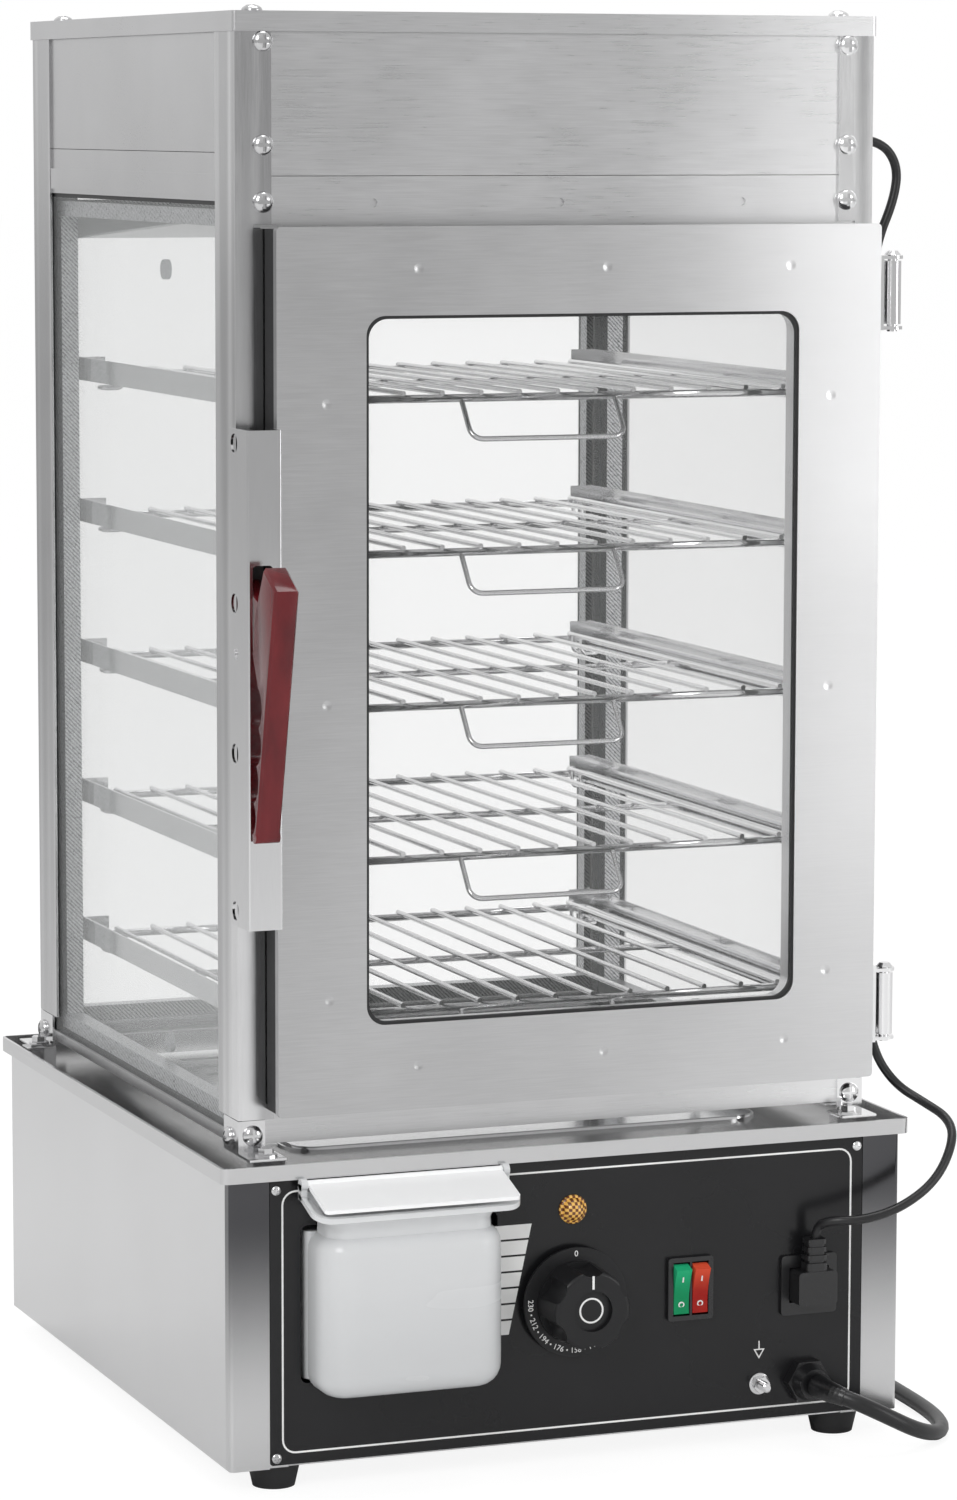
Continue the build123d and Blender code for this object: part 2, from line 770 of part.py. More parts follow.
def dome_screws(plane, spots):
    """Screws whose heads stand on a plane, at places given in the plane's own axes."""
    spot_planes = [plane.shift_origin(plane.from_local_coords((x, y, 0))) for x, y in spots]
    with BuildPart() as screws:
        with BuildSketch(*spot_planes):
            RegularPolygon(screw_head / 2, 2 * bar_sides)
        extrude(amount=screw_dome, taper=30)
        with BuildSketch(*spot_planes):
            RegularPolygon(screw_shank / 2 - 0.1, bar_sides)
        extrude(amount=-screw_length)
    return screws.part


cap_spots = [(sx * cap_screw_x / 2, mid_y + sy * cap_screw_y / 2) for sx in (-1, 1) for sy in (-1, 1)]
strip_spots = [(side * strip_screw_x, z) for side in (-1, 1) for z in strip_screw_heights]
face_spots = [(side * bracket_screw_x, bracket_screw_z) for side in (-1, 1)]
side_spots = [(cab_front + bracket_screw_side, side_screw_z), (cab_rear - rear_screw_side, side_screw_z)]
with BuildPart() as frame_screws:
    add(dome_screws(level(cabinet_top), cap_spots))
    add(dome_screws(facing_front(cab_front), strip_spots + face_spots))
    add(dome_screws(facing_right(half_width), side_spots))
    add(dome_screws(facing_right(half_width), side_spots).mirror(Plane.YZ))
frame_screws.part.label = "frame_screws"
export_step(frame_screws.part, "parts/frame_screws.step")

# Base: tray, shell and bottom plate
tray_floor = base_top + 1.0
tray_wall = 1.5
opening_corner = 12.0
bolt_spots = [(side * foot_bolt_x, front_bolt_y) for side in (-1, 1)]
bolt_spots += [(side * rear_bolt_x, rear_bolt_y) for side in (-1, 1)]
with BuildPart() as base_tray:
    with BuildSketch(level(base_top, 0, mid_y)):
        RectangleRounded(lip_width, lip_depth, 4.0)
    extrude(amount=lip_height)
    with BuildSketch(level(tray_floor, 0, mid_y)):
        RectangleRounded(lip_width - 2 * tray_wall, lip_depth - 2 * tray_wall, 2.5)
    extrude(amount=lip_height, mode=Mode.SUBTRACT)
    with BuildSketch(level(base_top, 0, mid_y)):
        RectangleRounded(pan_width, pan_depth, opening_corner)
    extrude(amount=lip_height, mode=Mode.SUBTRACT)
    with Locations(*[(x, y, tray_floor) for x, y in bolt_spots]):
        Hole(bolt_radius, depth=2.0)
base_tray.part.label = "base_tray"
export_step(base_tray.part, "parts/base_tray.step")

nut_flats = 16.0
washer_radius = 5.5
washer_thick = 0.8
bolt_length = 14.0
bolt_end = 3.0
with BuildPart() as corner_bolts:
    for x, y in bolt_spots:
        with BuildSketch(level(tray_floor, x, y)):
            RegularPolygon(nut_flats / 2, 6, major_radius=False, rotation=30)
        extrude(amount=bracket_bottom - tray_floor)
        with BuildSketch(level(bracket_bottom + post_wall, x, y)):
            RegularPolygon(washer_radius, 2 * bar_sides)
        extrude(amount=washer_thick)
        with BuildSketch(level(bracket_bottom + post_wall + washer_thick + bolt_end, x, y)):
            RegularPolygon(bolt_radius - 0.1, bar_sides)
        extrude(amount=-bolt_length - bolt_end)
corner_bolts.part.label = "corner_bolts"
export_step(corner_bolts.part, "parts/corner_bolts.step")

shell_wall = 1.0
panel_left = -155.3
panel_bottom = 13.5
panel_top = 152.2
strip_flange = 11.0
flange_back = panel_thick + 0.3
with BuildPart() as base_shell:
    with BuildSketch(level(foot_height, 0, mid_y)):
        RectangleRounded(base_width, base_depth, 2.0)
        RectangleRounded(base_width - 2 * shell_wall, base_depth - 2 * shell_wall, 1.0, mode=Mode.SUBTRACT)
    extrude(amount=base_top - foot_height)
    with Locations((0, base_front, foot_height)):
        Box(-2 * panel_left + 2 * fit_gap, 3.0, base_top - foot_height,
            align=(Align.CENTER, Align.CENTER, Align.MIN), mode=Mode.SUBTRACT)
    for side in (-1, 1):
        near = Align.MIN if side > 0 else Align.MAX
        away = Align.MAX if side > 0 else Align.MIN
        with Locations((side * (-panel_left + fit_gap), base_front, foot_height)):
            Box(shell_wall, flange_back + shell_wall, base_top - foot_height,
                align=(near, Align.MIN, Align.MIN))
        with Locations((side * (-panel_left + fit_gap + shell_wall), base_front + flange_back, foot_height)):
            Box(strip_flange, shell_wall, base_top - foot_height, align=(away, Align.MIN, Align.MIN))
base_shell.part.label = "base_shell"
export_step(base_shell.part, "parts/base_shell.step")

foot_screw = 3.0
foot_bore_depth = 8.0
foot_spots = [(side * foot_half_x, mid_y + y) for side in (-1, 1) for y in (foot_front, foot_rear)]
plate_width = base_width - 2 * shell_wall - 2 * fit_gap
plate_front = base_front + flange_back + shell_wall + fit_gap
plate_rear = mid_y + base_depth / 2 - shell_wall - fit_gap
with BuildPart() as base_plate:
    with BuildSketch(level(foot_height, 0, (plate_front + plate_rear) / 2)):
        Rectangle(plate_width, plate_rear - plate_front)
    extrude(amount=shell_wall + 0.2)
    with Locations(*[(x, y, foot_height + 2) for x, y in foot_spots]):
        Hole(foot_screw / 2, depth=4.0)
base_plate.part.label = "base_plate"
export_step(base_plate.part, "parts/base_plate.step")

with BuildPart() as feet:
    with Locations(*[(x, y, foot_height / 2) for x, y in foot_spots]):
        Cone(foot_bottom_radius, foot_top_radius, foot_height)
    with Locations(*[(x, y, 0) for x, y in foot_spots]):
        Cylinder(2 * foot_screw, 2 * foot_bore_depth, mode=Mode.SUBTRACT)
        Cylinder(foot_screw / 2, 3 * foot_height, mode=Mode.SUBTRACT)
feet.part.label = "feet"
export_step(feet.part, "parts/feet.step")

# Water pan, its heating element and the slotted plate that lets the steam up
pan_rim = 8.0
pan_wall = 1.0
pan_mouth = tray_floor + pan_wall
pan_height = pan_mouth - pan_bottom
pan_taper = degrees(atan2(pan_draught, pan_height))
pan_outer = (pan_width - 2 * fit_gap, pan_depth - 2 * fit_gap)
element_z = 80.0
element_x = 30.0
element_clearance = 0.3
pan_bottom_bend = 6.0


def pan_form(inset):
    """The drawn pan's form, set in by the wall where it is the cavity."""
    with BuildPart() as form:
        with BuildSketch(level(pan_mouth, 0, mid_y)):
            RectangleRounded(pan_outer[0] - 2 * inset, pan_outer[1] - 2 * inset, opening_corner - fit_gap - inset)
        extrude(amount=inset - pan_height, taper=pan_taper)
        fillet(form.faces().sort_by(Axis.Z)[0].edges(), radius=pan_bottom_bend - inset)
    return form.part


with BuildPart() as water_pan:
    add(pan_form(0.0))
    add(pan_form(pan_wall), mode=Mode.SUBTRACT)
    with BuildSketch(level(tray_floor, 0, mid_y)):
        RectangleRounded(pan_width + 2 * pan_rim, pan_depth + 2 * pan_rim, opening_corner + pan_rim)
        RectangleRounded(pan_outer[0] - pan_wall, pan_outer[1] - pan_wall, opening_corner - 1, mode=Mode.SUBTRACT)
    extrude(amount=pan_wall)
    with Locations(facing_front(mid_y - pan_depth / 2)):
        with Locations((-element_x, element_z), (element_x, element_z)):
            Hole(element_tube / 2 + element_clearance, depth=3 * pan_draught)
water_pan.part.label = "water_pan"
export_step(water_pan.part, "parts/water_pan.step")

element_front = mid_y - pan_depth / 2 - 10.0
element_back = mid_y + 60.0
element_side = 75.0
element_bend = 3 * element_tube
heating_element = rod(
    [
        (-element_x, element_front, element_z),
        (-element_x, mid_y - 40.0, element_z),
        (-element_side, mid_y - 40.0, element_z),
        (-element_side, element_back, element_z),
        (element_side, element_back, element_z),
        (element_side, mid_y - 40.0, element_z),
        (element_x, mid_y - 40.0, element_z),
        (element_x, element_front, element_z),
    ], element_tube / 2, 20.0, bar_sides)
heating_element.label = "heating_element"
export_step(heating_element, "parts/heating_element.step")

slot_length = 60.0
slot_width = 6.0
with BuildPart() as steam_plate:
    with BuildSketch(level(pan_mouth, 0, mid_y)):
        RectangleRounded(pan_width + 10, pan_depth + 10, opening_corner)
        with GridLocations(slot_length + 14, 22.0, 3, 11):
            Rectangle(slot_length, slot_width, mode=Mode.SUBTRACT)
    extrude(amount=1.2)
steam_plate.part.label = "steam_plate"
export_step(steam_plate.part, "parts/steam_plate.step")

# Control panel
box_cut_left = -140.0
box_cut_right = -39.0
box_cut_bottom = 52.4
box_cut_top = 129.4
bush_radius = 5.0
socket_body = 24.0
gland_radius = 7.0
with BuildPart() as control_panel:
    with BuildSketch(facing_front(base_front, 0, (panel_bottom + panel_top) / 2)):
        RectangleRounded(-2 * panel_left, panel_top - panel_bottom, 1.5)
    extrude(amount=-panel_thick)
    with BuildSketch(facing_front(base_front)):
        with Locations(((box_cut_left + box_cut_right) / 2, (box_cut_bottom + box_cut_top) / 2)):
            RectangleRounded(box_cut_right - box_cut_left, box_cut_top - box_cut_bottom, 4.0)
        with Locations((dial_x, dial_z)):
            Circle(bush_radius + fit_gap)
        with Locations((dial_x, pilot_z)):
            Circle(pilot_radius - 1.2 + fit_gap)
        with Locations((switch_x, switch_z)):
            Rectangle(switch_width - 2.0, switch_height - 3.0)
        with Locations((socket_x, socket_z)):
            Rectangle(socket_body + 2 * fit_gap, socket_body + 2 * fit_gap)
        with Locations((gland_x, gland_z)):
            Circle(gland_radius + fit_gap)
    extrude(amount=-panel_thick, mode=Mode.SUBTRACT)
control_panel.part.label = "control_panel"
export_step(control_panel.part, "parts/control_panel.step")

# Pilot light: a bright rim, a domed lens and a body behind the panel
with BuildPart() as pilot_light:
    with BuildSketch(facing_front(base_front, dial_x, pilot_z)):
        Circle(pilot_radius)
    extrude(amount=1.5)
    with BuildSketch(facing_front(base_front - 1.5, dial_x, pilot_z)):
        Circle(pilot_radius - 1.4)
    extrude(amount=4.5, taper=18)
    with BuildSketch(facing_front(base_front, dial_x, pilot_z)):
        Circle(pilot_radius - 1.2)
    extrude(amount=-24.0)
pilot_light.part.label = "pilot_light"
export_step(pilot_light.part, "parts/pilot_light.step")

# Thermostat behind the panel, its shaft and the dial
skirt_gap = 0.8
skirt_thick = 1.8
nut_thick = 2.5
knob_inside = 14.0
shaft_flat = 2.2
knob_recess = 10.0
flute_radius = 9.0
thermostat_back = 30.0
with BuildPart() as thermostat:
    with BuildSketch(facing_front(base_front + panel_thick + fit_gap, dial_x, dial_z)):
        Rectangle(36.0, 44.0)
    extrude(amount=-thermostat_back)
    with BuildSketch(facing_front(base_front + panel_thick + fit_gap, dial_x, dial_z)):
        Circle(bush_radius)
    extrude(amount=panel_thick + fit_gap + nut_thick)
    with Locations(facing_front(base_front - nut_thick, dial_x, dial_z)):
        Hole(shaft_radius + running_fit, depth=18.0)
thermostat.part.label = "thermostat"
export_step(thermostat.part, "parts/thermostat.step")

skirt_back = base_front - nut_thick - skirt_gap
knob_grip = 16.0
shaft_front = skirt_back - knob_grip
knob_face = skirt_back - skirt_thick - knob_length
with BuildPart() as knob:
    with BuildSketch(facing_front(skirt_back, dial_x, dial_z)):
        Circle(skirt_radius)
    extrude(amount=skirt_thick)
    with BuildSketch(facing_front(skirt_back - skirt_thick, dial_x, dial_z)):
        Circle(knob_radius)
    extrude(amount=knob_length, taper=3)
    fillet(knob.faces().sort_by(Axis.Y)[0].edges(), radius=2.0)
    with BuildSketch(facing_front(skirt_back - skirt_thick - 2.0, dial_x, dial_z)):
        with PolarLocations(knob_radius + flute_radius - 3.5, 6, start_angle=30):
            Circle(flute_radius)
    extrude(amount=knob_length, mode=Mode.SUBTRACT)
    with BuildSketch(facing_front(knob_face, dial_x, dial_z)):
        Circle(knob_recess)
    extrude(amount=-2.5, mode=Mode.SUBTRACT)
    with BuildSketch(facing_front(skirt_back, dial_x, dial_z)):
        Circle(shaft_radius)
        with Locations((0, shaft_flat)):
            Rectangle(2 * shaft_radius, 2 * shaft_radius,
                      align=(Align.CENTER, Align.MIN), mode=Mode.SUBTRACT)
    extrude(amount=knob_grip, mode=Mode.SUBTRACT)
with BuildPart() as shaft:
    with BuildSketch(facing_front(skirt_back, dial_x, dial_z)):
        Circle(shaft_radius)
    extrude(amount=knob_grip)
    extrude(shaft.faces().sort_by(Axis.Y)[-1], amount=knob_inside)
    with Locations((dial_x, skirt_back, dial_z + shaft_flat)):
        Box(2 * shaft_radius, knob_grip, 2 * shaft_radius,
            align=(Align.CENTER, Align.MAX, Align.MIN), mode=Mode.SUBTRACT)
dial_knob = Compound(children=[knob.part.solid(), shaft.part.solid()])
dial_knob.label = "dial_knob"
export_step(dial_knob, "parts/dial_knob.step")

# Twin rocker switch
bezel_depth = 2.5
bezel_border = 2.0
rocker_gap = 0.4
rocker_pitch = 10.0
rocker_tilt = 10.0
rocker_axis_y = base_front + 1.5
rocker_reach = 6.0
trunnion = 1.5
switch_depth = 24.0
pocket_depth = 9.0
with BuildPart() as switch_housing:
    with BuildSketch(facing_front(base_front, switch_x, switch_z)):
        RectangleRounded(switch_width, switch_height, 1.5)
    extrude(amount=bezel_depth)
    with BuildSketch(facing_front(base_front, switch_x, switch_z)):
        Rectangle(switch_width - 2.6, switch_height - 3.6)
    extrude(amount=-switch_depth)
    with BuildSketch(facing_front(base_front - bezel_depth, switch_x, switch_z)):
        with GridLocations(rocker_pitch, 0, 2, 1):
            Rectangle(rocker_width + 2 * rocker_gap, rocker_height + 2 * rocker_gap)
    extrude(amount=-bezel_depth - pocket_depth, mode=Mode.SUBTRACT)
    with BuildSketch(facing_right(switch_x - switch_width / 2 + 2, rocker_axis_y, switch_z)):
        Circle(trunnion + running_fit)
    extrude(amount=switch_width - 4, mode=Mode.SUBTRACT)
switch_housing.part.label = "switch_housing"
export_step(switch_housing.part, "parts/switch_housing.step")


def rocker(x):
    """A rocker in its off position, seen as a dished key on two trunnions."""
    half = rocker_height / 2
    with BuildPart() as key:
        with BuildSketch(facing_right(x - rocker_width / 2, rocker_axis_y, switch_z)):
            with BuildLine():
                Line((-rocker_reach, half - 1.5), (-rocker_reach + 6.0, half - 0.5))
                Line((-rocker_reach + 6.0, half - 0.5), (4.5, 3.0))
                Line((4.5, 3.0), (4.5, -3.0))
                Line((4.5, -3.0), (-rocker_reach + 6.0, -half + 0.5))
                Line((-rocker_reach + 6.0, -half + 0.5), (-rocker_reach, -half + 1.5))
                ThreePointArc((-rocker_reach, -half + 1.5), (-rocker_reach + 1.6, 0),
                              (-rocker_reach, half - 1.5))
            make_face()
        extrude(amount=rocker_width)
        with BuildSketch(facing_right(x - rocker_width / 2 - 0.3, rocker_axis_y, switch_z)):
            Circle(trunnion)
        extrude(amount=rocker_width + 0.6)
    axis = Axis((x, rocker_axis_y, switch_z), (1, 0, 0))
    key.part = key.part.rotate(axis, rocker_tilt)
    return key


power_rocker = rocker(switch_x - rocker_pitch / 2)
power_rocker.part.label = "power_rocker"
export_step(power_rocker.part, "parts/power_rocker.step")

light_rocker = rocker(switch_x + rocker_pitch / 2)
light_rocker.part.label = "light_rocker"
export_step(light_rocker.part, "parts/light_rocker.step")

# Socket and plug of the lamp lead
socket_flange = 30.0
socket_depth = 20.0
socket_mouth = 21.4
plug_width = 20.8
plug_depth = 13.0
plug_height = 17.0
with BuildPart() as light_socket:
    with BuildSketch(facing_front(base_front, socket_x, socket_z)):
        RectangleRounded(socket_flange, socket_flange, 2.0)
    extrude(amount=2.0)
    with BuildSketch(facing_front(base_front, socket_x, socket_z)):
        Rectangle(socket_body, socket_body)
    extrude(amount=-socket_depth)
    with BuildSketch(facing_front(base_front - 2.0, socket_x, socket_z)):
        Rectangle(socket_mouth, plug_height + 0.6)
    extrude(amount=-14.0, mode=Mode.SUBTRACT)
light_socket.part.label = "light_socket"
export_step(light_socket.part, "parts/light_socket.step")

relief_width = 12.6
relief_depth = 10.6
relief_height = 16.0
plug_inside = 10.0
plug_face = base_front - plug_depth
relief_middle = plug_face + relief_depth / 2
light_hole = light_cord_size / 2 + 0.1
with BuildPart() as light_plug:
    with BuildSketch(facing_front(plug_face, socket_x, socket_z)):
        RectangleRounded(plug_width, plug_height, 2.0)
    extrude(amount=-plug_depth - plug_inside)
    with BuildSketch(level(socket_z, socket_x, relief_middle)):
        RectangleRounded(relief_width, relief_depth, 3.0)
    with BuildSketch(level(socket_z + plug_height / 2 + relief_height, socket_x, relief_middle)):
        RectangleRounded(relief_width - 2.6, relief_depth - 2.0, 1.8)
    loft()
    for groove in range(3):
        with BuildSketch(level(socket_z + plug_height / 2 + 4.0 + 4.0 * groove, socket_x, relief_middle)):
            Rectangle(2 * relief_width, 2 * relief_width)
            RectangleRounded(relief_width - 3.6, relief_depth - 3.0, 2.0, mode=Mode.SUBTRACT)
        extrude(amount=1.6, mode=Mode.SUBTRACT)
    with Locations((socket_x, relief_middle, socket_z + plug_height / 2 + relief_height)):
        Hole(light_hole, depth=relief_height - 1.0)
light_plug.part.label = "light_plug"
export_step(light_plug.part, "parts/light_plug.step")

# Cable glands: the large one for the mains lead and the small one for the lamp lead
gland_flats = 20.0
gland_body = 6.0
gland_cap = 7.0
mains_hole = power_cord_size / 2 + 0.1
with BuildPart() as cord_gland:
    with BuildSketch(facing_front(base_front, gland_x, gland_z)):
        RegularPolygon(gland_flats / 2, 6, major_radius=False)
    extrude(amount=gland_body)
    with BuildSketch(facing_front(base_front - gland_body, gland_x, gland_z)):
        Circle(gland_flats / 2 - 0.5)
    extrude(amount=gland_cap, taper=14)
    with BuildSketch(facing_front(base_front, gland_x, gland_z)):
        Circle(gland_radius)
    extrude(amount=-12.0)
    with Locations(facing_front(base_front - gland_body - gland_cap, gland_x, gland_z)):
        Hole(mains_hole, depth=30.0)
with BuildPart() as light_grommet:
    with BuildSketch(facing_right(half_width, light_cord_y, light_cord_z)):
        Circle(grommet_radius + 2.0)
    extrude(amount=2.5)
    with BuildSketch(facing_right(half_width, light_cord_y, light_cord_z)):
        Circle(grommet_radius - 0.2)
    extrude(amount=-post_wall - 0.6)
    with BuildSketch(facing_right(half_width + 2.5, light_cord_y, light_cord_z)):
        Circle(light_hole)
    extrude(amount=-6.0, mode=Mode.SUBTRACT)
cord_glands = Compound(children=[cord_gland.part.solid(), light_grommet.part.solid()])
cord_glands.label = "cord_glands"
export_step(cord_glands, "parts/cord_glands.step")

# Water box that hangs in the panel's cut-out, with a flared filling mouth
box_back_y = base_front + box_behind
box_front_y = base_front - box_front
box_corner = 16.0
box_bottom_corner = 12.0
box_step_y = base_front - 0.5
neck_inset = 5.0
neck_height = 2.0
box_middle = (box_left + box_right) / 2
funnel_middle = (funnel_left + funnel_right) / 2
funnel_width = funnel_right - funnel_left
funnel_front_y = box_front_y - 2.0
funnel_back_y = base_front - 1.0
funnel_slope = atan2(funnel_rear_height - funnel_front_height, funnel_back_y - funnel_front_y)


def tank(inset, top):
    """The tank's form, set in from its outer face by the wall where it is the cavity."""
    with BuildPart() as form:
        with Locations((box_middle, box_front_y + inset, box_bottom + inset)):
            Box(box_right - box_left - 2 * inset, box_step_y - box_front_y - 2 * inset,
                top - box_bottom - inset, align=(Align.CENTER, Align.MIN, Align.MIN))
        front_edges = form.edges().filter_by(Axis.Z).group_by(Axis.Y)[0]
        fillet(front_edges, radius=box_corner - inset)
        fillet(form.faces().sort_by(Axis.Z)[0].edges().group_by(Axis.Y)[0], radius=box_bottom_corner - inset)
        with Locations((box_middle, box_back_y - inset, box_cut_bottom + 1.5 + inset)):
            Box(box_right - box_left - 2 * inset, box_back_y - box_front_y - 24.0 - 2 * inset,
                box_shoulder - box_cut_bottom - 1.5 - 2 * inset, align=(Align.CENTER, Align.MAX, Align.MIN))
    return form.part


def funnel(inset):
    """The flared mouth between the neck and the sloping rim."""
    with BuildPart() as form:
        with BuildSketch(level(box_shoulder - inset, box_middle, (box_front_y + box_step_y) / 2)):
            Rectangle(box_right - box_left - 2 * neck_inset - 2 * inset,
                      box_step_y - box_front_y - 2 * inset - 2.0)
        extrude(amount=neck_height + inset)
        with BuildSketch(level(box_shoulder + neck_height, box_middle, (box_front_y + box_step_y) / 2)):
            Rectangle(box_right - box_left - 2 * neck_inset - 2 * inset,
                      box_step_y - box_front_y - 2 * inset - 2.0)
        rim_z = (funnel_front_height + funnel_rear_height) / 2
        rim = Plane(
            origin=(funnel_middle, (funnel_front_y + funnel_back_y) / 2, rim_z),
            x_dir=(1, 0, 0),
            z_dir=(0, -sin(funnel_slope), cos(funnel_slope)),
        )
        with BuildSketch(rim):
            Rectangle(funnel_width - 2 * inset,
                      (funnel_back_y - funnel_front_y) / cos(funnel_slope) - 2 * inset)
        loft()
    return form.part


box_hinge_y = base_front - 5.5
box_hinge_z = 150.5
box_pin = 1.2
box_ear = 3.0
box_ear_radius = 3.0
with BuildPart() as water_box:
    add(tank(0.0, box_shoulder))
    add(funnel(0.0))
    add(tank(box_wall, box_shoulder - box_wall), mode=Mode.SUBTRACT)
    add(funnel(box_wall + 0.01), mode=Mode.SUBTRACT)
    for ear_x in (funnel_left, funnel_right - box_ear):
        with BuildSketch(facing_right(ear_x, box_hinge_y, box_hinge_z)):
            Circle(box_ear_radius)
            with Locations((0.5, -3.5)):
                Rectangle(2 * box_ear_radius - 1.0, 7.0)
            Circle(box_pin + running_fit, mode=Mode.SUBTRACT)
        extrude(amount=box_ear)
water_box.part.label = "water_box"
export_step(water_box.part, "parts/water_box.step")

lid_thick = 2.0
lid_lift = 1.0
lid_slope = funnel_slope
lid_front = funnel_front_y - 3.0
with BuildPart() as water_box_lid:
    lid_plane = Plane(
        origin=(funnel_middle, box_hinge_y, box_hinge_z),
        x_dir=(1, 0, 0),
        z_dir=(0, -sin(lid_slope), cos(lid_slope)),
    )
    with BuildSketch(lid_plane.offset(-lid_thick / 2)):
        with Locations((0, -(box_hinge_y - lid_front) / 2 - 1.5)):
            RectangleRounded(funnel_width - 2 * box_ear - 1.2, box_hinge_y - lid_front, 2.0)
    extrude(amount=lid_thick)
    with BuildSketch(facing_right(funnel_left + box_ear + 0.4, box_hinge_y, box_hinge_z)):
        Circle(2.0)
    extrude(amount=funnel_width - 2 * box_ear - 0.8)
    with BuildSketch(facing_right(funnel_left + 0.4, box_hinge_y, box_hinge_z)):
        Circle(box_pin)
    extrude(amount=funnel_width - 0.8)
water_box_lid.part.label = "water_box_lid"
export_step(water_box_lid.part, "parts/water_box_lid.step")

# Door: a stainless skin, a folded inner frame, two panes, and the magnetic gasket at its edge
door_width = door_right - door_left
door_height = door_top - door_bottom
door_x = (door_left + door_right) / 2
door_z = (door_bottom + door_top) / 2
window_width = window_right - window_left
window_height = window_top - window_bottom
window_x = (window_left + window_right) / 2
window_z = (window_bottom + window_top) / 2
seal_depth = 2.0
pane_depth = sheet + seal_depth
frame_depth = 18.0
pane_play = 0.3
gasket_start = skin_return
gasket_end = door_stand - gasket_gap
gasket_wall = 1.5
frame_inset = gasket_width + sheet + 0.3


def door_plane(depth):
    """The sketch plane at a depth behind the door's face."""
    return facing_front(door_face + depth)


def outline_ring(inset, width, start, depth):
    """A ring of the given width along the door's outline."""
    with BuildPart() as ring:
        with BuildSketch(door_plane(start)):
            with Locations((door_x, door_z)):
                Rectangle(door_width - 2 * inset, door_height - 2 * inset)
                Rectangle(door_width - 2 * inset - 2 * width, door_height - 2 * inset - 2 * width,
                          mode=Mode.SUBTRACT)
        extrude(amount=-depth)
    return ring.part


def window_ring(inner, outer, start, depth):
    """A ring between two distances outside the window's edge."""
    with BuildPart() as ring:
        with BuildSketch(door_plane(start)):
            with Locations((window_x, window_z)):
                RectangleRounded(window_width + 2 * outer, window_height + 2 * outer, window_corner)
                RectangleRounded(window_width + 2 * inner, window_height + 2 * inner, window_corner,
                                 mode=Mode.SUBTRACT)
        extrude(amount=-depth)
    return ring.part


with BuildPart() as door_skin:
    with BuildSketch(door_plane(0)):
        with Locations((door_x, door_z)):
            RectangleRounded(door_width, door_height, 2.0)
        with Locations((window_x, window_z)):
            RectangleRounded(window_width, window_height, window_corner, mode=Mode.SUBTRACT)
    extrude(amount=-sheet)
    with BuildSketch(door_plane(0)):
        with Locations((door_x, door_z)):
            RectangleRounded(door_width, door_height, 2.0)
            RectangleRounded(door_width - 2 * sheet, door_height - 2 * sheet, 1.0, mode=Mode.SUBTRACT)
    extrude(amount=-skin_return)
door_skin.part.label = "door_skin"
export_step(door_skin.part, "parts/door_skin.step")

with BuildPart() as window_seal:
    add(window_ring(-1.5, glass_overlap, sheet, seal_depth))
window_seal.part.label = "window_seal"
export_step(window_seal.part, "parts/window_seal.step")

with BuildPart() as door_glass:
    for start in (pane_depth, frame_depth - glass_thick):
        with BuildSketch(door_plane(start)):
            with Locations((window_x, window_z)):
                RectangleRounded(window_width + 2 * glass_overlap, window_height + 2 * glass_overlap,
                                 window_corner + 1.0)
        extrude(amount=-glass_thick)
door_glass.part.label = "door_glass"
export_step(door_glass.part, "parts/door_glass.step")

pane_back = pane_depth + glass_thick
inner_pane = frame_depth - glass_thick
wall_outset = glass_overlap + pane_play
with BuildPart() as door_inner_frame:
    add(outline_ring(frame_inset, sheet, sheet, frame_depth - sheet))
    add(outline_ring(sheet + 0.3, frame_inset - 0.3, gasket_start - sheet, sheet))
    with BuildSketch(door_plane(frame_depth - sheet)):
        with Locations((door_x, door_z)):
            Rectangle(door_width - 2 * frame_inset, door_height - 2 * frame_inset)
        with Locations((window_x, window_z)):
            RectangleRounded(window_width + 2 * wall_outset, window_height + 2 * wall_outset,
                             window_corner, mode=Mode.SUBTRACT)
    extrude(amount=-sheet)
    add(window_ring(wall_outset, wall_outset + sheet, pane_back, frame_depth - pane_back))
    add(window_ring(0.0, wall_outset + sheet, inner_pane - sheet, sheet))
    add(window_ring(0.0, sheet, pane_back, inner_pane - pane_back))
    add(window_ring(0.0, wall_outset + sheet, pane_back, sheet))
door_inner_frame.part.label = "door_inner_frame"
export_step(door_inner_frame.part, "parts/door_inner_frame.step")

with BuildPart() as door_gasket:
    add(outline_ring(sheet, gasket_width, gasket_start, gasket_end - gasket_start))
    add(outline_ring(sheet + gasket_wall, gasket_width - 2 * gasket_wall, gasket_start,
                     gasket_end - gasket_start - gasket_wall), mode=Mode.SUBTRACT)
door_gasket.part.label = "door_gasket"
export_step(door_gasket.part, "parts/door_gasket.step")

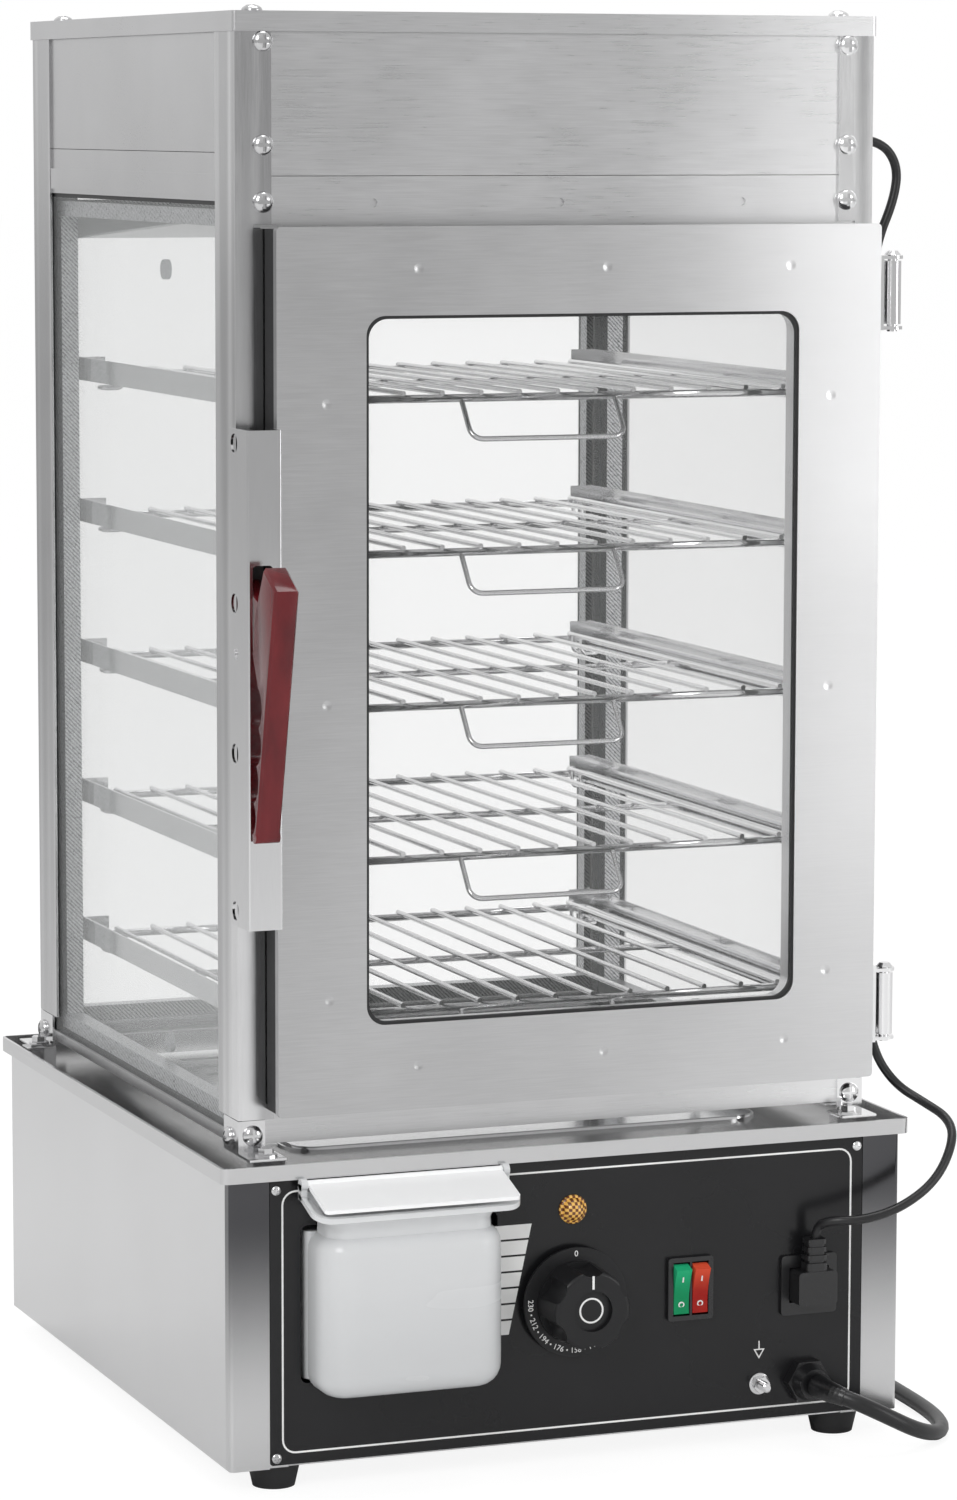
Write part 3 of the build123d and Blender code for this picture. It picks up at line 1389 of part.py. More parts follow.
# Handle channel on the door's edge, with the lever's pivot pin
channel_face = door_face - channel_stand
pivot_y = channel_face + 19.5
channel_right = door_left
neck_left = lever_left + 1.5
neck_right = lever_left + lever_width - 1.5
neck_low = lever_pivot_height + 2.0
neck_high = lever_pivot_height + 25.0
slot_top = lever_pivot_height + 43.0
ear_half = 11.0
flange_end = channel_face + channel_depth
with BuildPart() as handle_bracket:
    with BuildSketch(level(channel_bottom)):
        with BuildLine():
            Polyline(
                (channel_left, flange_end),
                (channel_left, channel_face),
                (channel_right, channel_face),
                (channel_right, door_face + skin_return),
                (channel_right - channel_wall, door_face + skin_return),
                (channel_right - channel_wall, channel_face + channel_wall),
                (channel_left + channel_wall, channel_face + channel_wall),
                (channel_left + channel_wall, flange_end),
                close=True,
            )
        make_face()
    extrude(amount=channel_top - channel_bottom)
    fillet(handle_bracket.edges().filter_by(Axis.Z).group_by(Axis.Y)[0], radius=channel_wall)
    with Locations((channel_right, door_face, lever_pivot_height)):
        Box(channel_wall, pivot_y + 5.0 - door_face, 2 * ear_half, align=(Align.MAX, Align.MIN, Align.CENTER))
    with BuildSketch(facing_front(channel_face)):
        with Locations(((neck_left + neck_right) / 2, (neck_low - 4.0 + slot_top) / 2)):
            RectangleRounded(neck_right - neck_left + 2 * 0.5, slot_top - neck_low + 4.0, 2.0)
    extrude(amount=-channel_wall, mode=Mode.SUBTRACT)
    with Locations(facing_right(channel_left + channel_wall)):
        with Locations(*[(pivot_y, z) for z in channel_holes]):
            Hole(channel_hole / 2, depth=2 * channel_wall)
    with BuildSketch(facing_right(channel_left, pivot_y, lever_pivot_height)):
        Circle(pivot_pin / 2)
    extrude(amount=channel_right - channel_left, mode=Mode.SUBTRACT)
with BuildPart() as pivot:
    with BuildSketch(facing_right(channel_left - 0.8, pivot_y, lever_pivot_height)):
        Circle(pivot_pin / 2)
    extrude(amount=channel_right - channel_left + 1.0)
handle_bracket = Compound(children=[handle_bracket.part.solid(), pivot.part.solid()])
handle_bracket.label = "handle_bracket"
export_step(handle_bracket, "parts/handle_bracket.step")

# Lever: a grip with four finger scallops, a neck through the channel and a nose that pries on the post
lever_front_y = door_face - channel_stand - lever_stand
grip_clearance = 7.5
grip_top = 446.5
grip_bottom = 316.0
nose_z = lever_pivot_height + 33.0
nose_radius = 2.0
boss_radius = 6.5
cusps = ((-10.0, 390.0), (-10.5, 371.0), (-7.0, 353.0), (-3.0, 335.0), (-1.0, 320.0))
scallop_depths = (5.0, 5.5, 5.0, 4.0)
with BuildPart() as door_handle:
    with BuildSketch(facing_right(lever_left)):
        with BuildLine():
            Line((channel_face - grip_clearance, neck_high), (channel_face - 18.0, grip_top))
            Line((channel_face - 18.0, grip_top), (lever_front_y, grip_top - 9.5))
            Line((lever_front_y, grip_top - 9.5), (channel_face - 7.0, grip_bottom + 3.0))
            ThreePointArc((channel_face - 7.0, grip_bottom + 3.0), (channel_face - 4.2, grip_bottom),
                          (channel_face + cusps[4][0], cusps[4][1]))
            for low, high, depth in zip(cusps[:0:-1], cusps[3::-1], scallop_depths[::-1]):
                middle = ((low[0] + high[0]) / 2 - depth + channel_face, (low[1] + high[1]) / 2)
                ThreePointArc((channel_face + low[0], low[1]), middle, (channel_face + high[0], high[1]))
            Line((channel_face + cusps[0][0], cusps[0][1]), (channel_face - 2.5, neck_low))
            Line((channel_face - 2.5, neck_low), (channel_face - grip_clearance, neck_high))
        make_face()
    extrude(amount=lever_width)
    long_rims = door_handle.edges().filter_by(GeomType.LINE).filter_by(
        lambda edge: edge.center().Y < channel_face - 12 and abs(edge.tangent_at(0).X) < 0.1)
    chamfer(long_rims, length=1.2)
    with BuildSketch(facing_right(neck_left)):
        with BuildLine():
            Line((channel_face - grip_clearance - 0.5, neck_high + 0.5), (pivot_y - nose_radius, nose_z + nose_radius))
            ThreePointArc((pivot_y - nose_radius, nose_z + nose_radius),
                          (pivot_y - 0.6, nose_z + 1.4), (pivot_y, nose_z))
            Line((pivot_y, nose_z), (pivot_y + boss_radius - 1.0, lever_pivot_height + 4.0))
            ThreePointArc((pivot_y + boss_radius - 1.0, lever_pivot_height + 4.0),
                          (pivot_y + 3.0, lever_pivot_height - 6.0),
                          (pivot_y - 3.0, lever_pivot_height - 6.0))
            Line((pivot_y - 3.0, lever_pivot_height - 6.0), (channel_face - 3.0, neck_low))
            Line((channel_face - 3.0, neck_low), (channel_face - grip_clearance - 0.5, neck_high + 0.5))
        make_face()
    extrude(amount=neck_right - neck_left)
    with BuildSketch(facing_right(lever_left, pivot_y, lever_pivot_height)):
        Circle(pivot_pin / 2 + running_fit)
    extrude(amount=lever_width, mode=Mode.SUBTRACT)
door_handle.part.label = "door_handle"
export_step(door_handle.part, "parts/door_handle.step")

# Hinges on the right of the door
hinge_x = door_right + hinge_offset_x
hinge_y = cab_front - hinge_offset_y
ear_reach = 5.0
leaf_gap = 1.0
barrel_radius = hinge_barrel / 2
leaf_height = hinge_ear_span - 2 * hinge_plate - 2 * leaf_gap


def door_leaf(height):
    """The leaf on the door's edge, with an ear above and below the barrel."""
    with BuildPart() as leaf:
        with Locations((door_right, hinge_y - 9.0, height)):
            Box(hinge_plate, 17.0, hinge_ear_span, align=(Align.MIN, Align.MIN, Align.CENTER))
        for level_z in (height - hinge_ear_span / 2, height + hinge_ear_span / 2 - hinge_plate):
            with BuildSketch(level(level_z)):
                with Locations((hinge_x, hinge_y)):
                    Circle(ear_reach)
                with Locations((door_right, hinge_y)):
                    Rectangle(hinge_x - door_right, 2 * ear_reach, align=(Align.MIN, Align.CENTER))
                with Locations((hinge_x, hinge_y)):
                    Circle(hinge_pin / 2 + running_fit, mode=Mode.SUBTRACT)
            extrude(amount=hinge_plate)
    return leaf.part


def cabinet_leaf(height):
    """The leaf on the post, its cranked arm, the barrel and the headed pin."""
    crank_y = cab_front + 4.0
    with BuildPart() as leaf:
        with Locations((half_width, crank_y, height)):
            Box(hinge_plate, 18.0, leaf_height, align=(Align.MIN, Align.MIN, Align.CENTER))
            Box(hinge_x + hinge_plate / 2 - half_width, hinge_plate, leaf_height,
                align=(Align.MIN, Align.MIN, Align.CENTER))
        with Locations((hinge_x, hinge_y, height)):
            Box(hinge_plate, crank_y - hinge_y + hinge_plate, leaf_height,
                align=(Align.CENTER, Align.MIN, Align.CENTER))
            Cylinder(barrel_radius, leaf_height)
            Cylinder(hinge_pin / 2, hinge_ear_span + 2.0)
        with Locations((hinge_x, hinge_y, height + hinge_ear_span / 2 + 0.3)):
            Cone(barrel_radius, hinge_pin / 2, 2.0, align=(Align.CENTER, Align.CENTER, Align.MIN))
    return leaf.part


with BuildPart() as hinge_door_leaves:
    for height in hinge_heights:
        add(door_leaf(height))
hinge_door_leaves.part.label = "hinge_door_leaves"
export_step(hinge_door_leaves.part, "parts/hinge_door_leaves.step")

with BuildPart() as hinge_cabinet_leaves:
    for height in hinge_heights:
        add(cabinet_leaf(height))
hinge_cabinet_leaves.part.label = "hinge_cabinet_leaves"
export_step(hinge_cabinet_leaves.part, "parts/hinge_cabinet_leaves.step")

# Cords: straight runs joined by tangent arcs through points placed by hand
corner_share = 0.45


def cord_route(points):
    """The centre line through the points, each corner rounded from its shorter run."""
    radii = []
    for before, at, after in zip(points, points[1:], points[2:]):
        first = Vector(*at) - Vector(*before)
        second = Vector(*after) - Vector(*at)
        half_turn = radians(first.get_angle(second)) / 2
        radii.append(corner_share * min(first.length, second.length) / tan(half_turn))
    with BuildLine() as route:
        FilletPolyline(*points, radius=radii)
    return route.wire(), radii


def cord_tube(name, points, size):
    """A round cord along a route, with its bends and its volume against section times length printed."""
    centre_line, radii = cord_route(points)
    with BuildPart() as tube:
        with BuildSketch(Plane(origin=centre_line @ 0, z_dir=centre_line % 0)) as section:
            RegularPolygon(size / 2, bar_sides, rotation=180 / bar_sides)
        sweep(path=centre_line)
    share = tube.part.volume / (section.sketch.area * centre_line.length)
    print(name, "length", round(centre_line.length, 1), "tightest bend", round(min(radii), 1),
          "volume share", round(share, 4))
    return tube


light_route = [
    (162.0, light_cord_y, 643.5),
    (176.0, light_cord_y, 643.0),
    (186.0, -130.5, 631.0),
    (184.0, -131.0, 614.0),
    (174.5, -130.5, 592.0),
    (170.0, -130.0, 556.0),
    (169.0, -130.5, 500.0),
    (170.5, -130.0, 444.0),
    (169.0, -130.5, 388.0),
    (170.0, -130.0, 332.0),
    (168.8, -130.5, 276.0),
    (170.5, -130.0, 226.0),
    (177.5, -130.5, 188.0),
    (188.0, -135.0, 170.5),
    (199.0, -147.0, 162.5),
    (204.0, -164.0, 157.5),
    (201.0, -177.0, 149.0),
    (187.0, -187.0, 131.5),
    (165.0, -191.0, 119.5),
    (144.0, -190.5, 115.0),
    (130.0, -184.5, 115.0),
    (socket_x, relief_middle, 110.0),
    (socket_x, relief_middle, 97.0),
]
light_cord = cord_tube("light_cord", light_route, light_cord_size)
light_cord.part.label = "light_cord"
export_step(light_cord.part, "parts/light_cord.step")

# The mains lead runs down beside the base and back to a coil that lies behind it
floor_height = power_cord_size / 2 + 0.1
coil_x = 120.0
coil_y = 280.0
coil_outer = 52.8
coil_inner = 31.5
lower_pitch = 8.8
upper_pitch = 10.4
layer_rise = 8.6
lower_quarters = 8
total_quarters = 17
coil_start_x = coil_x + coil_outer
mains_route = [
    (gland_x, -174.0, gland_z),
    (gland_x, -193.0, gland_z),
    (134.0, -204.0, 28.5),
    (150.0, -209.0, 20.5),
    (168.0, -206.0, 11.0),
    (184.0, -196.0, 5.2),
    (196.0, -179.0, floor_height),
    (203.0, -150.0, floor_height),
    (206.0, -100.0, floor_height),
    (209.0, -30.0, floor_height),
    (207.0, 50.0, floor_height),
    (208.0, 125.0, floor_height),
    (200.0, 180.0, floor_height),
    (180.0, 218.0, floor_height),
    (coil_start_x, 246.0, floor_height),
    (coil_start_x, coil_y - power_cord_size, floor_height),
]
upper_height = floor_height + layer_rise
coil_end_y = coil_y + coil_inner + upper_pitch * (total_quarters - lower_quarters - 1) / 4
plug_x = 20.0
plug_route = [
    (coil_x - power_cord_size, coil_end_y, upper_height),
    (coil_x - 36.0, coil_end_y, upper_height),
    (coil_x - 62.0, coil_end_y + 6.0, upper_height),
    (plug_x + 14.0, coil_end_y + 4.0, upper_height),
    (plug_x - 6.0, coil_end_y + 4.0, upper_height),
]
mains_run = cord_tube("power_cord", mains_route, power_cord_size)
plug_run = cord_tube("power_cord tail", plug_route, power_cord_size)
power_cord = Compound(children=[mains_run.part.solid(), plug_run.part.solid()])
power_cord.label = "power_cord"
export_step(power_cord, "parts/power_cord.step")


def coil_node(quarter):
    """The place and the direction of the coil's centre line after a number of quarter turns."""
    turn = quarter * pi / 2
    rising = lower_quarters + 1
    if quarter <= lower_quarters:
        radius = coil_outer - lower_pitch * quarter / 4
        outward = -lower_pitch / (2 * pi)
        height = floor_height
    else:
        radius = coil_inner + upper_pitch * (quarter - rising) / 4
        outward = upper_pitch / (2 * pi)
        height = floor_height + layer_rise
    upward = 0.0
    if quarter == rising:
        height = floor_height + layer_rise / 2
        outward = 0.0
        upward = layer_rise / pi * 1.5
    if quarter in (0, total_quarters):
        outward = 0.0
    place = Vector(coil_x + radius * cos(turn), coil_y + radius * sin(turn), height)
    way = Vector(outward * cos(turn) - radius * sin(turn), outward * sin(turn) + radius * cos(turn), upward)
    return place, way.normalized()


def biarc(start, start_way, end, end_way):
    """Two arcs that leave the start and reach the end along their given directions."""
    span = end - start
    both = start_way + end_way
    bend = 2 * (1 - start_way.dot(end_way))
    reach = (-span.dot(both) + (span.dot(both) ** 2 + bend * span.dot(span)) ** 0.5) / bend
    middle = (start + start_way * reach + end - end_way * reach) / 2
    TangentArc(start, middle, tangent=start_way)
    TangentArc(end, middle, tangent=end_way * -1)


nodes = [coil_node(quarter) for quarter in range(total_quarters + 1)]
with BuildLine() as coil_line:
    Line(nodes[0][0] - nodes[0][1] * power_cord_size, nodes[0][0])
    for (here, here_way), (there, there_way) in zip(nodes, nodes[1:]):
        biarc(here, here_way, there, there_way)
    Line(nodes[-1][0], nodes[-1][0] + nodes[-1][1] * power_cord_size)
coil_wire = coil_line.wire()
with BuildPart() as power_cord_coil:
    with BuildSketch(Plane(origin=nodes[0][0] - nodes[0][1] * power_cord_size, z_dir=nodes[0][1])) as section:
        RegularPolygon(power_cord_size / 2, bar_sides, rotation=180 / bar_sides)
    sweep(path=coil_wire)
power_cord_coil.part.label = "power_cord_coil"
export_step(power_cord_coil.part, "parts/power_cord_coil.step")

samples = 500
spots = [coil_wire @ (i / samples) for i in range(samples + 1)]
apart = int(samples * 4 * power_cord_size / coil_wire.length)
least = min((spots[i] - spots[j]).length for i in range(samples) for j in range(i + apart, samples + 1))
print("coil length", round(coil_wire.length, 1), "least gap", round(least - power_cord_size, 2),
      "volume share", round(power_cord_coil.part.volume / (section.sketch.area * coil_wire.length), 4))

# Mains plug that lies behind the base
plug_body = 24.6
plug_length = 30.0
mains_relief = 26.0
blade_gap = 12.7
with BuildPart() as power_plug:
    with BuildSketch(Plane(origin=(plug_x + 12.0, coil_end_y + 4.0, upper_height), z_dir=(-1, 0, 0))):
        Circle(6.5)
    with BuildSketch(Plane(origin=(plug_x + 12.0 - mains_relief, coil_end_y + 4.0, upper_height), z_dir=(-1, 0, 0))):
        Circle(9.5)
    loft()
    with BuildSketch(Plane(origin=(plug_x + 14.0 - mains_relief, coil_end_y + 4.0, upper_height), z_dir=(-1, 0, 0))):
        RectangleRounded(plug_body, plug_body, 8.0)
    extrude(amount=plug_length)
    fillet(power_plug.faces().sort_by(Axis.X)[0].edges(), radius=1.5)
    with Locations(Plane(origin=(plug_x + 12.0, coil_end_y + 4.0, upper_height), z_dir=(1, 0, 0))):
        Hole(power_cord_size / 2 + 0.1, depth=20.0)
    blade_face = plug_x + 14.0 - mains_relief - plug_length
    with Locations((blade_face + 2.0, coil_end_y + 4.0 - blade_gap / 2, upper_height + 3.0),
                   (blade_face + 2.0, coil_end_y + 4.0 + blade_gap / 2, upper_height + 3.0)):
        Box(19.5, 1.5, 6.4, align=(Align.MAX, Align.CENTER, Align.CENTER))
    with BuildSketch(Plane(origin=(blade_face + 2.0, coil_end_y + 4.0, upper_height - 7.5), z_dir=(-1, 0, 0))):
        Circle(2.4)
    extrude(amount=21.0)
power_plug.part.label = "power_plug"
export_step(power_plug.part, "parts/power_plug.step")
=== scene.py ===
"""Looks of the counter-top bun steamer: camera, studio, finishes, cords and the fine pieces."""
import json
from math import cos, pi, radians, sin

import bmesh
import bpy
from mathutils import Matrix, Vector


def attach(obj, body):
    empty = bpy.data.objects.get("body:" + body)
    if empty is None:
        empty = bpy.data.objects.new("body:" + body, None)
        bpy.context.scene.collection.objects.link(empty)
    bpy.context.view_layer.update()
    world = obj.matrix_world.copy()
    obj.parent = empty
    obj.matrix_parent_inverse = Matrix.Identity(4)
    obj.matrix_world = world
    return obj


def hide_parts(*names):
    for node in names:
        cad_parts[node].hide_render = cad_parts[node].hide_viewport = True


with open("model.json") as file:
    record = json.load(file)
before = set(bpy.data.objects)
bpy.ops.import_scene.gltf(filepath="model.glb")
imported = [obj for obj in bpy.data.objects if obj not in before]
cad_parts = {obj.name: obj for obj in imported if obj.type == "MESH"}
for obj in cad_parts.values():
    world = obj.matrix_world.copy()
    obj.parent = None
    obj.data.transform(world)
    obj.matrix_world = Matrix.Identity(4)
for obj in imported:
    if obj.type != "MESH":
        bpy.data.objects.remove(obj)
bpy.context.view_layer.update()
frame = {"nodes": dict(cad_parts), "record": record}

nodes = frame["nodes"]
scene = bpy.context.scene
scene.view_settings.view_transform = "Standard"
MM = 0.001

# Places on the object, in millimetres, as the solids have them
mid_y = 20.0
cabinet_front = -147.0
cabinet_half_width = 164.2
cabinet_top = 702.7
panel_face = -167.0
dial_centre = (0.0, 82.0)
skirt_face = -172.1
knob_face = -194.1
knob_recess_face = -191.6
tiers = (218.0, 292.5, 367.0, 441.5, 516.0)


def mm(x, y, z):
    """A point given in millimetres, in Blender's metres."""
    return Vector((x * MM, y * MM, z * MM))


# Camera
image_height = 1500
focal_pixels = 5119.5
sensor_side = 36.0
yaw, pitch, roll = radians(21.18), radians(7.04), radians(0.12)
looking = Vector((sin(yaw) * cos(pitch), cos(yaw) * cos(pitch), -sin(pitch)))
level_right = looking.cross(Vector((0, 0, 1))).normalized()
level_up = level_right.cross(looking)
camera_right = level_right * cos(roll) + level_up * sin(roll)
camera_up = level_up * cos(roll) - level_right * sin(roll)
camera_data = bpy.data.cameras.new("camera")
camera_data.sensor_width = sensor_side
camera_data.lens = focal_pixels * sensor_side / image_height
camera = bpy.data.objects.new("camera", camera_data)
camera.matrix_world = Matrix.Translation(mm(-925.4, -2427.5, 653.3)) @ Matrix(
    (camera_right, camera_up, -looking)).transposed().to_4x4()
scene.collection.objects.link(camera)
scene.camera = camera


class Field:
    """A socket of a node tree on which numbers and other fields are added, multiplied and compared."""

    def __init__(self, tree, socket):
        self.tree, self.socket = tree, socket

    def maths(self, operation, *operands):
        return self.tree.field("ShaderNodeMath", {"operation": operation}, dict(enumerate(operands)))

    def __add__(self, other):
        return self.maths("ADD", self, other)

    __radd__ = __add__

    def __sub__(self, other):
        return self.maths("SUBTRACT", self, other)

    def __rsub__(self, other):
        return self.maths("SUBTRACT", other, self)

    def __mul__(self, other):
        return self.maths("MULTIPLY", self, other)

    __rmul__ = __mul__

    def __lt__(self, other):
        return self.maths("LESS_THAN", self, other)

    def __mod__(self, other):
        return self.maths("FLOORED_MODULO", self, other)

    def __abs__(self):
        return self.maths("ABSOLUTE", self)

    def __pow__(self, other):
        return self.maths("POWER", self, other)

    def upper(self, other):
        return self.maths("MAXIMUM", self, other)


class Tree:
    """A node tree, shader or geometry, to which nodes are added by type, settings and sockets."""

    def __init__(self, tree):
        self.tree = tree

    def node(self, kind, settings=None, sockets=None):
        made = self.tree.nodes.new(kind)
        for name, value in (settings or {}).items():
            setattr(made, name, value)
        for name, value in (sockets or {}).items():
            self.feed(value, made.inputs[name])
        return made

    def feed(self, value, socket):
        if isinstance(value, Field):
            self.tree.links.new(value.socket, socket)
        else:
            socket.default_value = value

    def field(self, kind, settings=None, sockets=None, output=0):
        return Field(self, self.node(kind, settings, sockets).outputs[output])


class Finish(Tree):
    """A procedural material in Object coordinates, with its steady values on the shader's own sockets."""

    def __init__(self, name, colour, roughness, **steady):
        self.material = bpy.data.materials.new(name)
        self.material.use_nodes = True
        super().__init__(self.material.node_tree)
        self.shader = self.tree.nodes["Principled BSDF"]
        self.colour, self.roughness = colour, roughness
        self.set("Base Color", (*colour, 1.0))
        self.set("Roughness", roughness)
        for socket_name, value in steady.items():
            self.set(socket_name.replace("_", " ").title().replace("Ior", "IOR"), value)
        self.place = self.field("ShaderNodeTexCoord", output=3)

    def set(self, socket_name, value):
        self.feed(value, self.shader.inputs[socket_name])

    def noise(self, scale, stretch=(1, 1, 1), detail=3.0):
        """Noise whose grain is 1 / scale metres, made finer along each axis by the stretch."""
        placed = self.field("ShaderNodeMapping", None, {"Vector": self.place, "Scale": stretch})
        return self.field("ShaderNodeTexNoise", None, {"Vector": placed, "Scale": scale, "Detail": detail})

    def axis(self, name):
        return self.field("ShaderNodeSeparateXYZ", None, {0: self.place}, output="XYZ".index(name))

    def ease(self, value, low, high, start=0.0, end=1.0):
        """The value's way from low to high, smoothed, as a share from start to end."""
        return self.field("ShaderNodeMapRange", {"interpolation_type": "SMOOTHSTEP"},
                          {0: value, 1: low, 2: high, 3: start, 4: end})

    def blend(self, share, first, second):
        """A colour between two, each a colour or a field."""
        ends = [c if isinstance(c, Field) else (*c, 1.0) for c in (first, second)]
        return self.field("ShaderNodeMix", {"data_type": "RGBA"},
                          {0: share, 6: ends[0], 7: ends[1]}, output=2)

    def bump(self, height, distance, strength=1.0):
        self.set("Normal", self.field("ShaderNodeBump", None,
                                      {"Height": height, "Distance": distance, "Strength": strength}))


def shaded(colour, share):
    return tuple(min(1.0, c * share) for c in colour)


painted_reflection_grey = (0.93, 0.93, 0.935)
dark_reflection_grey = (0.16, 0.16, 0.165)


def sheet_steel(name, grey, roughness, stretch, contrast=1.0, bands=0.0):
    """Stainless sheet with a grain along one axis, clouds, a painted reflection that brightens its right
    side and dark bands of painted reflection.
    """
    finish = Finish(name, (grey, grey, grey * 1.01), roughness, metallic=1.0)
    grain = finish.noise(60.0, stretch, 4.0)
    clouds = finish.noise(9.0)
    fingers = finish.noise(45.0, detail=5.0)
    tone = grain * 0.45 + clouds * 0.55
    sheet = finish.blend(finish.ease(tone, 0.3, 0.7), shaded(finish.colour, 1 - 0.09 * contrast),
                         shaded(finish.colour, 1 + 0.07 * contrast))
    # Painted reflection: the sheet grows brighter towards the right, where the lamp on that side shows in
    # it
    sheet = finish.blend(finish.ease(finish.axis("X"), 20 * MM, 170 * MM, 0.0, 0.85), sheet, painted_reflection_grey)
    # Painted reflection: dark bands along the grain stand in for dark surroundings mirrored in the sheet
    if bands:
        band_stretch = tuple(1.0 if s > 1 else 0.02 for s in stretch)
        band = finish.ease(finish.noise(70.0, band_stretch, 1.0), 0.35, 0.62)
        sheet = finish.blend(band * bands, sheet, dark_reflection_grey)
    finish.set("Base Color", sheet)
    wear = (grain - 0.5) * 0.12 + (clouds - 0.5) * 0.10 + (fingers - 0.5) * 0.06
    finish.set("Roughness", wear + roughness)
    finish.bump(grain, 0.00002, 0.35)
    return finish


# Stretches of the noise that lay the grain along one axis
across = (1.0, 30.0, 30.0)
upright = (30.0, 30.0, 1.0)
from_front = (30.0, 1.0, 30.0)

finishes = {
    "stainless_sheet": sheet_steel("satin_stainless", 0.60, 0.30, across),
    "polished_steel": sheet_steel("polished_stainless", 0.70, 0.13, upright, 0.6),
    "chromed_wire": sheet_steel("chromed_wire", 0.66, 0.11, (1, 1, 1), 0.8),
    "screw_steel": sheet_steel("screw_steel", 0.62, 0.16, (3, 3, 3), 1.2),
    "galvanised_plate": sheet_steel("galvanised_plate", 0.62, 0.34, (2, 2, 2), 1.6),
    "element_steel": sheet_steel("element_steel", 0.34, 0.38, (4, 4, 4), 1.6),
}
upright_steel = sheet_steel("upright_stainless", 0.74, 0.20, upright, bands=0.45)
side_steel = sheet_steel("base_side_stainless", 0.62, 0.20, from_front)

# Base tray: bright outside, with painted shade making it dark within its upturned lip
tray_half_width, tray_half_depth, lip_edge = 178.0 * MM, 188.0 * MM, 0.6 * MM
bright_tray = sheet_steel("bright_tray", 0.60, 0.18, across)
tray_spots = bright_tray.noise(30.0, detail=6.0)
bright_tray.set("Roughness", tray_spots * 0.2 + 0.1)
tray_x, tray_y = abs(bright_tray.axis("X")), abs(bright_tray.axis("Y") - mid_y * MM)
tray_shade = (bright_tray.ease(tray_x, tray_half_width, tray_half_width + lip_edge, 1.0, 0.0)
               * bright_tray.ease(tray_y, tray_half_depth, tray_half_depth + lip_edge, 1.0, 0.0))
bright_tray.set("Base Color", bright_tray.blend(tray_shade * 0.85, (0.62, 0.62, 0.625),
                                                (0.10, 0.10, 0.10)))

# Base shell: its narrow front strips stand in the shade of the tray's rim
shell_front = side_steel.axis("Y") < -160.0 * MM
shell_shade = side_steel.ease(side_steel.axis("Z"), 30 * MM, 135 * MM, 0.10, 1.0) * shell_front
shell_tone = side_steel.noise(9.0)
side_steel.set("Base Color", side_steel.blend(shell_shade * 0.9 + shell_tone * 0.1, (0.74, 0.74, 0.745),
                                              (0.06, 0.06, 0.065)))

# Door skin: the same sheet with the small dimples of its spot welds
door_steel = Finish("door_skin_stainless", (0.50, 0.50, 0.505), 0.33, metallic=1.0)
grain = door_steel.noise(60.0, across, 4.0)
clouds = door_steel.noise(7.0)
door_sheet = door_steel.blend(door_steel.ease(grain * 0.35 + clouds * 0.65, 0.3, 0.7),
                              (0.48, 0.48, 0.485), (0.57, 0.57, 0.575))
door_x, door_z = door_steel.axis("X"), door_steel.axis("Z")
# Painted reflection: the skin is painted brighter towards its right side and higher up, where a lamp shows
# in it
door_painted_reflection = (door_steel.ease(door_x, 0.0, 170 * MM)
              * door_steel.ease(door_z, 120 * MM, 550 * MM, 0.35, 1.0))
door_steel.set("Base Color", door_steel.blend(door_painted_reflection, door_sheet, painted_reflection_grey))
door_steel.set("Roughness", (grain - 0.5) * 0.10 + (clouds - 0.5) * 0.12 + 0.33)
weld_spots = [(-126, 378), (-125, 237), (-80, 203), (16, 204), (112, 204), (-126, 520),
              (134, 237), (134, 378), (134, 520), (-80, 583), (16, 583), (112, 583)]
dimple_radius = 2.8 * MM
dimples = 0.0
for spot_x, spot_z in weld_spots:
    reach = ((door_x - spot_x * MM) ** 2 + (door_z - spot_z * MM) ** 2) ** 0.5
    dimples = door_steel.ease(reach, 0.0, dimple_radius, 1.0, 0.0) + dimples
door_steel.bump(grain * 0.03 - dimples, 0.0006, 0.6)

# Aluminium spacer bar, which has two rows of fine holes as the drying beads inside need; here they are
# painted shade, thin dark stripes at an even pitch across it, sunk a little by the bump
spacer = Finish("perforated_spacer", (0.66, 0.67, 0.68), 0.30, metallic=0.85)
along = spacer.axis("Z") + spacer.axis("X") + spacer.axis("Y")
hole_pitch = 0.0022
row = abs(along % hole_pitch - hole_pitch / 2)
holes = spacer.ease(row, 0.0003, 0.0007, 0.0, 1.0)
speck = spacer.noise(700.0, detail=1.0)
spacer.set("Base Color", spacer.blend(holes * 0.7 + spacer.ease(speck, 0.35, 0.6) * 0.3,
                                      (0.20, 0.20, 0.21), (0.70, 0.71, 0.72)))
spacer.set("Roughness", speck * 0.25 + 0.2)
spacer.bump(holes, 0.0003, 0.5)
finishes["aluminium_bar"] = spacer


def moulded(name, colour, roughness, grain_size=900.0, spread=0.10, **steady):
    """Moulded plastic or rubber with a fine skin and a slight drift in colour and gloss."""
    finish = Finish(name, colour, roughness, **steady)
    skin = finish.noise(grain_size, detail=2.0)
    drift = finish.noise(18.0, detail=4.0)
    finish.set("Base Color", finish.blend(finish.ease(drift, 0.3, 0.7), shaded(colour, 0.88),
                                          shaded(colour, 1.12)))
    finish.set("Roughness", (drift - 0.5) * spread + (skin - 0.5) * spread + roughness)
    finish.bump(skin, 0.00003, 0.5)
    return finish


